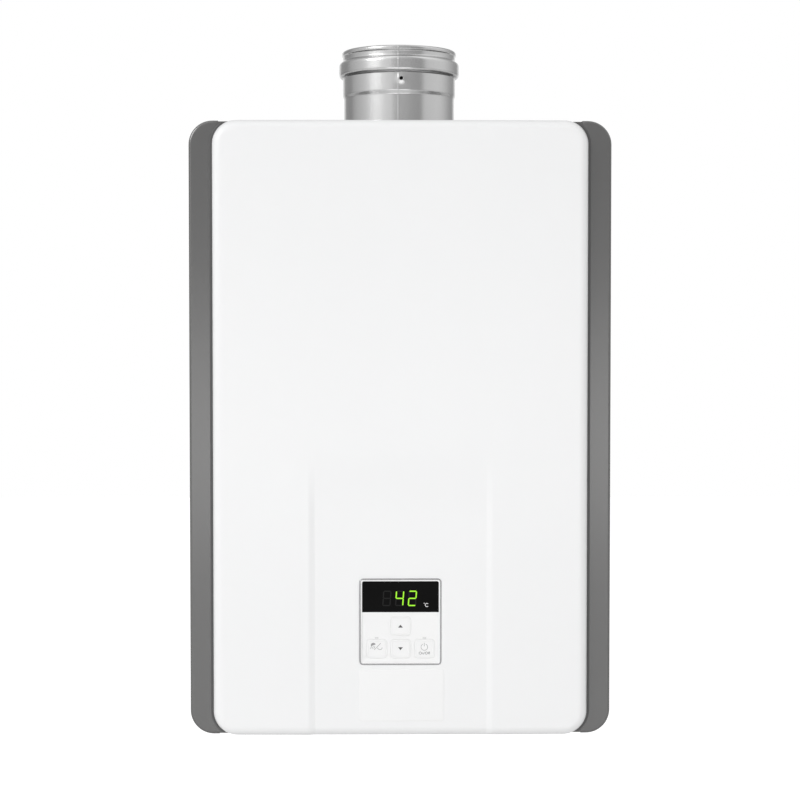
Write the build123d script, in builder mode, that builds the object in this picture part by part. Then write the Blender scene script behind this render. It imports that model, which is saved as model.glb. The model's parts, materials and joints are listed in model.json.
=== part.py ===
from build123d import *
import os

os.makedirs("parts", exist_ok=True)

# Case of a wall-hung water heater. X is to the right, Z is up and the wall is the plane Y = 0.
# Sizes that end in _d are distances in front of the wall, and z = 0 is the middle of the case.
case_width = 460.0
case_height = 670.0
case_depth = 256.0
case_corner = 26.0
wall_gap = 8.0
sheet = 1.0
side_sheet = 1.2
strip_width = 26.0
seal_shoulder = 6.0
shoulder_edge = 3.0
panel_lap = 5.5
panel_gap = 0.2
front_flange = 20.0
back_flange = 15.0
rib_length = 430.0
rib_width = 16.0
rib_height = 3.0
rib_spacing = 300.0

# Wall brackets
bracket_sheet = 2.0
bracket_width = 240.0
bracket_rise = 20.0
bracket_drop = 34.0
bracket_step = 8.0
bracket_corner = 6.0
fixing_rise = 10.5
fixing_spacing = 200.0
fixing_r = 3.5

# Front cover: a pressed pan with a crowned face, a rounded edge and a recess that fades out upwards
cover_sheet = 1.0
cover_stand = 15.0
cover_gap = 1.5
cover_crown = 3.0
cover_edge = 10.0
cover_lip = 8.0
recess_width = 200.0
recess_depth = 2.2
recess_slope = 3.4
recess_height = 239.0
recess_fade = 71.0
window_gap = 0.7
tab_width = 24.0
tab_reach = 34.0
tab_spacing = 240.0
seal_width = 4.0
seal_inset = 1.5

# Screws
screw_r = 2.0
screw_length = 9.0
head_r = 3.6
head_height = 2.4
screw_fit = 0.1
notch_gap = 0.3
notch_inset = 12.0

# Flue collar, measured up from the top of the case
flue_wall = 0.8
flue_tube_r = 62.5
flue_step_rise = 43.0
flue_step_height = 1.5
flue_socket_r = 64.2
bead_rise = 61.0
bead_height = 20.0
bead_r = 68.0
bead_slope = 3.5
rim_rise = 86.5
rim_r = 65.3
rim_height = 5.0
rim_slope = 1.2
flue_bend = 0.9
flue_flange_r = 86.0
flue_screw_circle = 77.0
flue_screw_count = 6
flue_hole_r = 1.8
flue_hole_rise = 54.0
seal_gap = 0.15

# Combustion stack, from the burner at the bottom to the exhaust at the top
column_width = 69.0
stack_back = 35.0
front_space = 36.0
stack_base = 215.0
burner_height = 80.0
primary_height = 135.0
secondary_height = 120.0
hood_height = 50.0
shell_wall = 1.2
channel_sheet = 1.5
channel_height = 30.0
channel_length = 260.0
channel_rise = 25.0
channel_rise_upper = 40.0

# Exhaust
spigot_r = 40.0
spigot_wall = 1.5
spigot_rise = 35.0
hood_wall = 1.5
hood_mouth = 110.0
sleeve_height = 20.0
sleeve_fit = 0.1

# Burner
bar_pitch = 19.5
bar_thickness = 11.0
bar_height = 54.0
bar_end_gap = 6.0
bar_head = 20.0
bar_mouth = 22.0
bar_notch = 42.0
bar_wall = 0.8
bar_curve = 20.0
port_pitch = 12.0
port_width = 2.5
port_depth = 4.0
nozzle_rise = 14.0
nozzle_r = 3.0
nozzle_reach = 4.0
venturi_r = 5.0
manifold_height = 24.0
manifold_depth = 22.0
manifold_gap = 6.0
manifold_round = 5.0
lug_width = 10.0

# Heat exchanger tubes
tube_r = 7.0
tube_wall = 1.0
tube_fit = 0.1
tube_reach = 6.0
tube_lead = 8.0
pass_count = 5
pass_inset = 25.0
pass_rise = 105.0
fin_pitch = 8.0
fin_sheet = 0.5
fin_height = 56.0
fin_margin = 0.5
coil_rise = 77.0
coil_pitch = 27.0
coil_turns = 2
coil_gap = 4.0
coil_bend = 16.0
coil_tight_bend = 12.0
coil_drop = 26.0
coil_end_rise = 5.0
bundle_r = 6.0
bundle_levels = 4
bundle_pitch = 24.0
bundle_base = 18.0
bundle_spread = 35.0
bundle_inset = 25.0
header_r = 9.0
header_outset = 28.0
header_end = 20.0
pipe_r = 8.0
pipe_bend = 20.0
shell_rib_length = 240.0
shell_rib_width = 10.0
shell_rib_height = 2.0
shell_rib_pitch = 28.0
shell_rib_count = 3

# Fan: a wheel of curved blades in a spiral housing, with its motor behind it
fan_x = -100.0
fan_rise = 118.0
fan_depth = 54.0
fan_wall = 2.0
fan_setback = 5.0
volute_r = 66.0
volute_growth = 6.0
duct_left = 24.0
duct_throat = 2.0
wheel_r = 54.0
wheel_width = 40.0
wheel_disc = 2.0
wheel_gap = 3.0
wheel_rim = 8.0
blade_count = 36
blade_sheet = 1.0
blade_depth = 14.0
blade_bow = 2.6
hub_r = 9.0
hub_length = 14.0
shaft_r = 3.0
shaft_fit = 0.05
shaft_reach = 30.0
shaft_hole_r = 6.0
intake_r = 42.0
intake_flare = 8.0
motor_r = 31.0
motor_length = 34.0
motor_flange_r = 36.0
motor_flange = 2.0
motor_round = 4.0

# Gas train
gas_x = 40.0
gas_d = 120.0
gas_rise = 45.0
gas_valve_width = 70.0
gas_valve_depth = 70.0
gas_valve_height = 90.0
gas_valve_round = 6.0
gas_coil_r = 15.0
gas_coil_length = 34.0
gas_coil_cap = 4.0
gas_coil_spread = 36.0
plunger_r = 5.0
plunger_fit = 0.08
plunger_length = 34.0
plunger_seat = 10.0
plunger_bore = 14.0
gas_pipe_r = 9.0
gas_pipe_bore = 7.5
gas_pipe_bend = 22.0
inlet_flange = 60.0
inlet_flange_height = 5.0
inlet_tube_r = 14.0

# Pipe connections under the case: three-quarter inch male ends and the condensate end
stub_r = 13.2
stub_bore = 9.0
stub_drop = 24.0
stub_gap = 0.8
collar_r = 16.5
collar_height = 4.0
drain_r = 10.5
drain_bore = 7.0

# Cold water side
water_d = 60.0
end_gap = 4.0
riser_jog = 40.0
riser_start = 25.0
inlet_block_width = 40.0
inlet_block_back = 22.0
inlet_block_front = 62.0
inlet_block_height = 44.0
inlet_block_round = 5.0
filter_offset = 42.0
filter_r = 11.0
filter_fit = 0.08
filter_depth = 36.0
filter_seat = 10.0
filter_mesh_r = 8.0
filter_mesh_length = 24.0
filter_mesh_wall = 1.0
knob_r = 14.0
knob_height = 15.0
knob_gap = 0.4
knob_grip_r = 2.0
knob_grip_count = 10
sensor_r = 17.0
sensor_bore = 13.0
sensor_height = 52.0
spider_sheet = 3.0
spider_inset = 6.0
spider_hub_r = 3.5
spider_bar = 2.4
spider_arms = 3
turbine_r = 12.4
turbine_hub_r = 4.0
turbine_shaft_r = 1.0
turbine_gap = 0.3
turbine_blades = 6
turbine_blade = 1.2
turbine_pitch = 30.0
valve_r = 22.0
valve_height = 54.0
valve_bore = 7.0
valve_boss_r = 15.0
valve_boss_reach = 30.0
plug_r = 10.0
plug_fit = 0.08
plug_half = 16.0
plug_end_gap = 0.3
plug_stem_r = 4.0
plug_stem_reach = 44.0
plug_port_r = 6.5
valve_motor_size = 36.0
valve_motor_length = 32.0
valve_motor_round = 4.0

# Hot water side and condensate
hot_d = 95.0
hot_block_r = 20.0
hot_block_height = 38.0
hot_pipe_rise = 95.0
hot_outset = 30.0
trap_gap = 8.5
trap_width = 78.0
trap_depth = 54.0
trap_height = 84.0
trap_rise = 30.0
trap_round = 8.0
trap_wall = 2.5
trap_spigot_x = -20.0
trap_spigot_d = 41.0
trap_spigot_r = 9.0
trap_spigot_rise = 12.0
trap_drain_d = 27.0
trap_rib = 3.0
trap_rib_pitch = 19.5
trap_rib_count = 3
drain_pipe_r = 6.0
drain_pipe_bore = 4.5
drain_pipe_d = 140.0
drain_pipe_rise = 12.0
drain_pipe_cross = 160.0
drain_pipe_outset = 20.0
drain_pipe_bend = 14.0

# Electrical parts
tray_width = 150.0
tray_height = 158.0
tray_depth = 36.0
tray_wall = 2.0
tray_x = 141.0
tray_rise = 41.0
tray_front_gap = 9.0
tray_leg = 16.0
tray_boss = 6.0
tray_boss_r = 4.0
board_margin = 3.0
board_sheet = 1.6
transformer_width = 36.0
transformer_height = 38.0
transformer_depth = 17.0
capacitor_r = 7.5
capacitor_depth = 15.0
capacitor_spread = 24.0
relay_width = 17.0
relay_height = 21.0
relay_depth = 11.0
relay_pitch = 28.0
relay_count = 4
socket_width = 17.0
socket_height = 10.0
socket_depth = 9.0
socket_pitch = 23.0
socket_count = 5
component_edge = 8.0
gland_x = 120.0
gland_d = 150.0
gland_r = 8.0
gland_fit = 0.2
gland_reach = 8.0
gland_flange_r = 12.0
gland_bore = 3.5
igniter_inset = 18.8
igniter_width = 46.0
igniter_height = 32.0
igniter_depth = 28.0
igniter_rise = 36.0
igniter_round = 2.0
electrode_xs = (-20.0, 30.0)
electrode_rise = 66.0
ceramic_r = 4.0
ceramic_back = 14.0
ceramic_front = 16.0
electrode_rod_r = 1.2
electrode_rod = 26.0
electrode_flange = 16.0
lead_r = 2.5
lead_rise = 26.0
lead_bend = 12.0
loom_r = 3.5
loom_bend = 14.0
loom_rise = 19.0

# Controller in the cover's window
controller_width = 88.0
controller_height = 93.2
controller_rise = 125.2
controller_corner = 3.2
controller_wall = 2.0
controller_face = 2.4
controller_rim = 2.2
controller_rim_step = 0.5
controller_proud = 0.8
controller_post_r = 2.5
controller_post_inset = 6.0
controller_board_gap = 2.0
plate_margin = 10.0
plate_sheet = 1.2
plate_flange = 10.0
plate_window = 50.0
display_width = 83.4
display_height = 33.9
display_rise = 27.5
display_sheet = 1.4
display_ledge = 3.0
display_fit = 0.1
module_inset = 6.0
button_width = 18.8
button_height = 17.0
button_corner = 3.0
button_fit = 0.35
button_lip = 1.0
button_lip_sheet = 1.0
button_travel = 0.8
button_gap = 0.3
button_column = 26.0
button_low = -29.4
button_high = -4.7
lamp_width = 3.8
lamp_height = 1.8
lamp_low = -17.8
switch_size = 6.0

# Planes and places that follow from the sizes
roof_z = case_height / 2
floor_z = -case_height / 2
half_width = case_width / 2
cover_width = case_width - 2 * strip_width
side_return = strip_width + seal_shoulder
side_inner_x = half_width - side_sheet
return_x = half_width - side_return
shoulder_d = case_depth - cover_stand
back_inner_d = wall_gap + sheet
lap_front_d = shoulder_d - shoulder_edge - panel_gap
lid_top_z = roof_z - side_sheet
lid_under_z = lid_top_z - sheet
deck_under_z = floor_z + side_sheet
deck_z = deck_under_z + sheet
stack_half = side_inner_x - column_width
stack_width = 2 * stack_half
stack_front_d = shoulder_d - front_space
stack_depth = stack_front_d - stack_back
stack_mid_d = (stack_back + stack_front_d) / 2
flue_d = stack_mid_d
burner_z = floor_z + stack_base
primary_z = burner_z + burner_height
secondary_z = primary_z + primary_height
hood_z = secondary_z + secondary_height
spigot_z = hood_z + hood_height
column_x = (stack_half + side_inner_x) / 2


def upright(d):
    return Plane.XZ.offset(d)


def level(z):
    return Plane.XY.offset(z)


def save(piece, name):
    piece.part.label = name
    export_step(piece.part, f"parts/{name}.step")


def bent_tube(points, bends, outer, bore):
    # A round tube along straight runs joined by tangent arcs
    with BuildPart() as tube:
        with BuildLine() as run:
            FilletPolyline(*points, radius=bends)
        with BuildSketch(Plane(origin=run.line @ 0, z_dir=run.line % 0)):
            Circle(outer)
            if bore:
                Circle(bore, mode=Mode.SUBTRACT)
        sweep()
    return tube.part


def serpentine(plane, reach, passes, lead_in, lead_out, outer, bore):
    # A tube that crosses the plane from the right and back again, once for each height in passes
    with BuildPart() as tube:
        with BuildLine(plane) as run:
            side = 1
            for index, height in enumerate(passes):
                start = lead_in if index == 0 else side * reach
                end = lead_out if index == len(passes) - 1 else -side * reach
                Line((start, height), (end, height))
                if index < len(passes) - 1:
                    after = passes[index + 1]
                    middle = (height + after) / 2
                    out = end - side * abs(after - height) / 2
                    ThreePointArc((end, height), (out, middle), (end, after))
                side = -side
        with BuildSketch(Plane(origin=run.line @ 0, z_dir=run.line % 0)):
            Circle(outer)
            Circle(bore, mode=Mode.SUBTRACT)
        sweep()
    return tube.part


# Side panels: shells open to the inside and the back, with a flat shoulder beside the cover
with BuildPart() as right_side_panel:
    with BuildSketch(upright(wall_gap)) as outline:
        with Locations((half_width - side_return / 2, 0)):
            Rectangle(side_return, case_height)
        fillet(outline.vertices().group_by(Axis.X)[-1], case_corner)
    extrude(amount=shoulder_d - wall_gap)
    shoulder = right_side_panel.faces().sort_by(Axis.Y)[0]
    fillet(shoulder.edges().sort_by(Axis.X)[1:], shoulder_edge)
    inner_face = right_side_panel.faces().sort_by(Axis.X)[0]
    rear_face = right_side_panel.faces().sort_by(Axis.Y)[-1]
    offset(amount=-side_sheet, openings=[inner_face, rear_face])
save(right_side_panel, "right_side_panel")

with BuildPart() as left_side_panel:
    mirror(right_side_panel.part, about=Plane.YZ)
save(left_side_panel, "left_side_panel")

# Back panel: a shallow pan inside the side panels, stiffened by two ribs pressed towards the wall
with BuildPart() as back_panel:
    with BuildSketch(upright(wall_gap)):
        RectangleRounded(2 * side_inner_x, 2 * lid_under_z, case_corner - side_sheet)
    extrude(amount=back_flange)
    offset(amount=-sheet, openings=back_panel.faces().sort_by(Axis.Y)[0])
    with BuildSketch(upright(wall_gap)):
        with GridLocations(rib_spacing, 0, 2, 1):
            SlotOverall(rib_length, rib_width, rotation=90)
    extrude(amount=-rib_height)
    with BuildSketch(upright(back_inner_d)):
        with GridLocations(rib_spacing, 0, 2, 1):
            SlotOverall(rib_length - 2 * sheet, rib_width - 2 * sheet, rotation=90)
    extrude(amount=-rib_height, mode=Mode.SUBTRACT)
save(back_panel, "back_panel")


def lapped_plate(face_z, inward):
    # A plate whose outer face is at face_z: it runs under the side returns and folds inward in front
    with BuildPart() as plate:
        with BuildSketch(level(face_z)):
            with Locations((0, -(wall_gap + shoulder_d) / 2)):
                Rectangle(2 * (return_x - panel_gap), shoulder_d - wall_gap)
            with Locations((0, -(wall_gap + lap_front_d) / 2)):
                Rectangle(2 * (return_x + panel_lap), lap_front_d - wall_gap)
        extrude(amount=inward * sheet)
        with BuildSketch(upright(shoulder_d)):
            with Locations((0, face_z + inward * front_flange / 2)):
                Rectangle(2 * (return_x - panel_gap), front_flange)
        extrude(amount=-sheet)
        with Locations((0, -tab_screw_d, face_z + sheet)):
            with GridLocations(tab_spacing, 0, 2, 1):
                Hole(screw_r + screw_fit, depth=2 * sheet)
    return plate.part


cover_rim_d = shoulder_d + cover_gap
tab_screw_d = cover_rim_d - tab_reach + notch_inset

with BuildPart() as top_panel:
    add(lapped_plate(lid_top_z, -1))
    with Locations((0, -flue_d, lid_top_z)):
        Hole(flue_tube_r)
        with PolarLocations(flue_screw_circle, flue_screw_count):
            Hole(screw_r + screw_fit)
save(top_panel, "top_panel")

# Bottom panel, with a hole for each pipe connection
water_x = return_x - collar_r - end_gap
hot_end_x = -water_x
trap_x = hot_end_x + hot_block_r + trap_gap + trap_width / 2
hot_x = -(stack_half + hot_outset)
riser_x = column_x
filter_d = water_d + filter_offset
trap_drain_place = back_inner_d + trap_drain_d
with BuildPart() as bottom_panel:
    add(lapped_plate(deck_under_z, 1))
    with Locations((water_x, -water_d, deck_z), (hot_end_x, -hot_d, deck_z), (gas_x, -gas_d, deck_z)):
        Hole(stub_r + stub_gap)
    with Locations((trap_x, -trap_drain_place, deck_z)):
        Hole(drain_r + stub_gap)
    with Locations((water_x, -filter_d, deck_z)):
        Hole(filter_r + stub_gap)
    with Locations((gland_x, -gland_d, deck_z)):
        Hole(gland_r + gland_fit)
save(bottom_panel, "bottom_panel")

# Wall brackets: stepped strips that stand above and below the case, with the four fixing holes
with BuildPart() as wall_brackets:
    with BuildSketch(Plane.YZ):
        with BuildLine():
            step_z = roof_z - bracket_step
            Polyline(
                (0, roof_z + bracket_rise),
                (-bracket_sheet, roof_z + bracket_rise),
                (-bracket_sheet, step_z + bracket_sheet),
                (-wall_gap, step_z + bracket_sheet),
                (-wall_gap, roof_z - bracket_drop),
                (bracket_sheet - wall_gap, roof_z - bracket_drop),
                (bracket_sheet - wall_gap, step_z),
                (0, step_z),
                close=True,
            )
        make_face()
    extrude(amount=bracket_width / 2, both=True)
    fillet(wall_brackets.edges().filter_by(Axis.Y).group_by(Axis.Z)[-1], bracket_corner)
    with BuildSketch(Plane.XZ):
        with Locations((0, roof_z + fixing_rise)):
            with GridLocations(fixing_spacing, 0, 2, 1):
                Circle(fixing_r)
    extrude(amount=bracket_sheet, mode=Mode.SUBTRACT)
    mirror(about=Plane.XY)
save(wall_brackets, "wall_brackets")

# Flue collar: one turned wall from the flange up to the rolled rim
with BuildPart() as flue_collar:
    with BuildSketch(upright(flue_d)):
        with BuildLine():
            FilletPolyline(
                (flue_flange_r, lid_top_z + flue_wall),
                (flue_tube_r, lid_top_z + flue_wall),
                (flue_tube_r, roof_z + flue_step_rise),
                (flue_socket_r, roof_z + flue_step_rise + flue_step_height),
                (flue_socket_r, roof_z + bead_rise),
                (bead_r, roof_z + bead_rise + bead_slope),
                (bead_r, roof_z + bead_rise + bead_height - bead_slope),
                (flue_socket_r, roof_z + bead_rise + bead_height),
                (flue_socket_r, roof_z + rim_rise),
                (rim_r, roof_z + rim_rise + rim_slope),
                (rim_r, roof_z + rim_rise + rim_height),
                radius=flue_bend,
            )
            offset(amount=flue_wall, side=Side.LEFT)
        make_face()
    revolve(axis=Axis((0, -flue_d, 0), (0, 0, 1)))
    with Locations((0, -flue_d, lid_top_z + flue_wall)):
        with PolarLocations(flue_screw_circle, flue_screw_count):
            Hole(screw_r + screw_fit)
    with BuildSketch(upright(flue_d)):
        with Locations((0, roof_z + flue_hole_rise)):
            Circle(flue_hole_r)
    extrude(amount=flue_socket_r, mode=Mode.SUBTRACT)
save(flue_collar, "flue_collar")

# Lip seal inside the bead
with BuildPart() as flue_seal:
    with BuildSketch(upright(flue_d)):
        seal_outer = bead_r - flue_wall - seal_gap
        seal_inner = flue_socket_r - flue_wall + seal_gap
        with Locations(((seal_outer + seal_inner) / 2, roof_z + bead_rise + bead_height / 2)):
            Rectangle(seal_outer - seal_inner, bead_height - 2 * (bead_slope + flue_bend))
    revolve(axis=Axis((0, -flue_d, 0), (0, 0, 1)))
save(flue_seal, "flue_seal")

# Screws of the cover and the flue flange, all alike
with BuildPart() as screw:
    Cylinder(head_r, head_height, align=(Align.CENTER, Align.CENTER, Align.MIN))
    fillet(screw.edges().sort_by(Axis.Z)[-1], head_height / 2)
    Cylinder(screw_r, screw_length, align=(Align.CENTER, Align.CENTER, Align.MAX))

with BuildPart() as case_screws:
    with Locations((0, -tab_screw_d, roof_z)):
        with GridLocations(tab_spacing, 0, 2, 1):
            add(screw.part)
    with Locations((0, -tab_screw_d, floor_z)):
        with GridLocations(tab_spacing, 0, 2, 1):
            add(screw.part, rotation=(180, 0, 0))
    with Locations((0, -flue_d, lid_top_z + flue_wall)):
        with PolarLocations(flue_screw_circle, flue_screw_count):
            add(screw.part)
save(case_screws, "case_screws")

# Front cover
face_radius = ((cover_width / 2) ** 2 + cover_crown**2) / (2 * cover_crown)
recess_half = recess_width / 2
recess_floor_d = case_depth - recess_half**2 / (2 * face_radius) - recess_depth
controller_z = floor_z + controller_rise
tool_depth = 2 * recess_depth + cover_stand


def recess_form(inset):
    # The space in front of the recess: sloped sides in plan, and a floor that curves out to the face
    floor_y = inset - recess_floor_d
    face_y = inset - case_depth
    fade_z = floor_z + recess_height
    top_z = fade_z + recess_fade
    with BuildPart() as form:
        with BuildSketch(level(floor_z - cover_stand)):
            with BuildLine():
                edge_y = floor_y - recess_depth
                inner = recess_half - recess_slope * recess_depth
                outer = recess_half + recess_slope * recess_depth
                Polyline(
                    (-inner, floor_y),
                    (inner, floor_y),
                    (outer, edge_y - recess_depth),
                    (-outer, edge_y - recess_depth),
                    close=True,
                )
            make_face()
        extrude(amount=cover_stand + recess_height + recess_fade)
        with BuildSketch(Plane.YZ):
            with BuildLine():
                Line((floor_y, floor_z - cover_stand), (floor_y, fade_z))
                Bezier(
                    (floor_y, fade_z),
                    (floor_y, fade_z + recess_fade / 2),
                    (face_y, top_z - recess_fade / 2),
                    (face_y, top_z),
                )
                Polyline(
                    (face_y, top_z),
                    (face_y - tool_depth, top_z),
                    (face_y - tool_depth, floor_z - cover_stand),
                    (floor_y, floor_z - cover_stand),
                )
            make_face()
        extrude(amount=recess_width, both=True, mode=Mode.INTERSECT)
    return form.part


def cover_form(inset):
    # The cover's outside, or with one sheet as inset the hollow behind it
    with BuildPart() as form:
        with BuildSketch(upright(cover_rim_d)):
            RectangleRounded(cover_width - 2 * inset, case_height - 2 * inset, case_corner - inset)
        extrude(amount=case_depth - cover_rim_d)
        with BuildSketch(level(floor_z)):
            with Locations((0, inset + face_radius - case_depth)):
                Circle(face_radius)
        extrude(amount=case_height, mode=Mode.INTERSECT)
        fillet(form.faces().sort_by(Axis.Y)[0].edges(), cover_edge - inset)
        add(recess_form(inset), mode=Mode.SUBTRACT)
    return form.part


with BuildPart() as front_cover:
    add(cover_form(0))
    add(cover_form(cover_sheet), mode=Mode.SUBTRACT)
    with BuildSketch(upright(cover_rim_d)):
        RectangleRounded(
            cover_width - cover_sheet,
            case_height - cover_sheet,
            case_corner - cover_sheet / 2,
        )
        RectangleRounded(
            cover_width - 2 * cover_lip,
            case_height - 2 * cover_lip,
            case_corner - cover_lip,
            mode=Mode.SUBTRACT,
        )
    extrude(amount=cover_sheet)
    with BuildSketch(upright(cover_rim_d)):
        with Locations((0, controller_z)):
            RectangleRounded(
                controller_width + 2 * window_gap,
                controller_height + 2 * window_gap,
                controller_corner + window_gap,
            )
    extrude(amount=cover_stand, mode=Mode.SUBTRACT)
    for tab_z in (roof_z - cover_sheet, floor_z):
        with BuildSketch(level(tab_z)):
            with Locations((0, tab_reach / 2 - cover_rim_d - cover_sheet / 2)):
                with GridLocations(tab_spacing, 0, 2, 1):
                    Rectangle(tab_width, tab_reach + cover_sheet)
            with Locations((0, notch_inset / 2 - tab_screw_d)):
                with GridLocations(tab_spacing, 0, 2, 1):
                    Rectangle(2 * (screw_r + notch_gap), notch_inset, mode=Mode.SUBTRACT)
            with Locations((0, -tab_screw_d)):
                with GridLocations(tab_spacing, 0, 2, 1):
                    Circle(screw_r + notch_gap, mode=Mode.SUBTRACT)
        extrude(amount=cover_sheet)
save(front_cover, "front_cover")

# Foam seal on the front of the case, under the cover's lip
with BuildPart() as cover_seal:
    with BuildSketch(upright(shoulder_d)):
        seal_outset = 2 * seal_inset
        seal_inset_in = 2 * (seal_inset + seal_width)
        RectangleRounded(cover_width - seal_outset, case_height - seal_outset, case_corner - seal_inset)
        RectangleRounded(
            cover_width - seal_inset_in,
            case_height - seal_inset_in,
            case_corner - seal_inset - seal_width,
            mode=Mode.SUBTRACT,
        )
    extrude(amount=cover_gap)
save(cover_seal, "cover_seal")

# Stack brackets: two channels that carry the stack on the back panel
with BuildPart() as stack_brackets:
    channel_depth = stack_back - back_inner_d
    channel_y = -(back_inner_d + stack_back) / 2
    for channel_z in (burner_z + channel_rise, secondary_z + channel_rise_upper):
        channel_mid_z = channel_z + channel_height / 2
        with BuildSketch(Plane.YZ):
            with Locations((channel_y, channel_mid_z)):
                Rectangle(channel_depth, channel_height)
            with Locations((channel_y, channel_mid_z + channel_sheet)):
                Rectangle(channel_depth - 2 * channel_sheet, channel_height, mode=Mode.SUBTRACT)
        extrude(amount=channel_length / 2, both=True)
save(stack_brackets, "stack_brackets")

# Fan housing: a spiral of quarter turns, each wider than the last, that leads up into the burner box
fan_z = floor_z + fan_rise
fan_front_d = stack_front_d - fan_setback
fan_back_d = fan_front_d - fan_depth
duct_right = volute_r + 3 * volute_growth
duct_top = burner_z - fan_z
fan_axis = Axis((fan_x, -fan_back_d, fan_z), (0, -1, 0))


def fan_plane(d):
    return Plane(origin=(fan_x, -d, fan_z), x_dir=(1, 0, 0), z_dir=(0, -1, 0))


def volute_plate(d, thickness, inset):
    # The spiral's outline with its duct, drawn in on all sides but the open top by the inset
    with BuildPart() as plate:
        with BuildSketch(fan_plane(d)):
            with BuildLine():
                first = volute_r - inset
                turn = first + volute_growth
                last = turn + volute_growth
                CenterArc((0, 0), first, 90, 90)
                CenterArc((volute_growth, 0), turn, 180, 90)
                CenterArc((volute_growth, volute_growth), last, 270, 90)
                Polyline(
                    (duct_right - inset, volute_growth),
                    (duct_right - inset, duct_top),
                    (duct_left + inset, duct_top),
                    (duct_left + inset, first - duct_throat),
                    (0, first),
                )
            make_face()
        extrude(amount=thickness)
    return plate.part


with BuildPart() as fan_housing:
    add(volute_plate(fan_back_d, fan_depth, 0))
    add(volute_plate(fan_back_d + fan_wall, fan_depth - fan_wall, fan_wall), mode=Mode.SUBTRACT)
    with BuildSketch(fan_plane(fan_back_d)):
        Circle(shaft_hole_r)
    extrude(amount=fan_wall, mode=Mode.SUBTRACT)
save(fan_housing, "fan_housing")

with BuildPart() as fan_cover:
    add(volute_plate(fan_front_d, fan_wall, 0))
    with BuildSketch(fan_plane(fan_front_d)):
        Circle(intake_r)
    extrude(amount=fan_wall, mode=Mode.SUBTRACT)
    with BuildSketch(Plane(origin=(fan_x, -fan_front_d, fan_z), x_dir=(1, 0, 0), z_dir=(0, 0, 1))):
        with BuildLine():
            flare_r = intake_r + fan_wall + intake_flare
            mouth_y = -fan_wall - intake_flare
            Line((intake_r, 0), (intake_r, -fan_wall))
            RadiusArc((intake_r, -fan_wall), (intake_r + intake_flare, mouth_y), -intake_flare)
            Line((intake_r + intake_flare, mouth_y), (flare_r, mouth_y))
            RadiusArc((flare_r, mouth_y), (intake_r + fan_wall, -fan_wall), intake_flare)
            Polyline((intake_r + fan_wall, -fan_wall), (intake_r + fan_wall, 0), (intake_r, 0))
        make_face()
    revolve(axis=fan_axis)
save(fan_cover, "fan_cover")

# Fan wheel on its shaft: a back disc, curved blades and a front ring
wheel_back_d = fan_back_d + fan_wall + wheel_gap
wheel_front_d = wheel_back_d + wheel_disc + wheel_width
with BuildPart() as fan_impeller:
    with BuildSketch(fan_plane(wheel_back_d)):
        Circle(wheel_r)
    extrude(amount=wheel_disc)
    with BuildSketch(fan_plane(wheel_back_d)) as blades:
        with PolarLocations(0, blade_count):
            with BuildLine():
                root_r = wheel_r - blade_depth
                mid_r = wheel_r - blade_depth / 2
                ThreePointArc((root_r, 0), (mid_r, blade_bow), (wheel_r - blade_sheet, 0))
                ThreePointArc((wheel_r - blade_sheet, 0), (mid_r, blade_bow + blade_sheet), (root_r, 0))
            make_face()
    extrude(amount=wheel_disc + wheel_width)
    with BuildSketch(fan_plane(wheel_front_d - wheel_disc)):
        Circle(wheel_r)
        Circle(wheel_r - wheel_rim, mode=Mode.SUBTRACT)
    extrude(amount=wheel_disc)
    with BuildSketch(fan_plane(wheel_back_d)):
        Circle(hub_r)
    extrude(amount=hub_length)
    with BuildSketch(fan_plane(fan_back_d - motor_flange - shaft_reach)):
        Circle(shaft_r)
    extrude(amount=shaft_reach + motor_flange + fan_wall + wheel_gap + hub_length)
save(fan_impeller, "fan_impeller")

with BuildPart() as fan_motor:
    with BuildSketch(fan_plane(fan_back_d - motor_flange)):
        Circle(motor_flange_r)
    extrude(amount=motor_flange)
    with BuildSketch(fan_plane(fan_back_d - motor_flange)):
        Circle(motor_r)
    extrude(amount=-motor_length)
    fillet(fan_motor.edges().sort_by(Axis.Y)[-1], motor_round)
    with BuildSketch(fan_plane(fan_back_d)):
        Circle(shaft_r + shaft_fit)
    extrude(amount=-(motor_flange + shaft_reach + shaft_r), mode=Mode.SUBTRACT)
save(fan_motor, "fan_motor")

# Burner box, open at the top, with the fan's duct in its floor and the nozzles in its front wall
bar_count = int((stack_width - 2 * shell_wall - bar_pitch) // bar_pitch) + 1
nozzle_z = burner_z + nozzle_rise
duct_mid_x = fan_x + (duct_left + duct_right) / 2
with BuildPart() as burner_box:
    with BuildSketch(level(burner_z)):
        with Locations((0, -stack_mid_d)):
            Rectangle(stack_width, stack_depth)
    extrude(amount=burner_height)
    offset(amount=-shell_wall, openings=burner_box.faces().sort_by(Axis.Z)[-1])
    with BuildSketch(level(burner_z)):
        with Locations((duct_mid_x, fan_wall / 2 - (fan_back_d + fan_front_d + fan_wall) / 2)):
            Rectangle(duct_right - duct_left - 2 * fan_wall, fan_depth - fan_wall)
    extrude(amount=shell_wall, mode=Mode.SUBTRACT)
    with BuildSketch(upright(stack_front_d)):
        with Locations((0, nozzle_z)):
            with GridLocations(bar_pitch, 0, bar_count, 1):
                Circle(venturi_r)
        with Locations(*[(x, burner_z + electrode_rise) for x in electrode_xs]):
            Circle(ceramic_r + tube_fit)
    extrude(amount=-shell_wall, mode=Mode.SUBTRACT)
save(burner_box, "burner_box")

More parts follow.
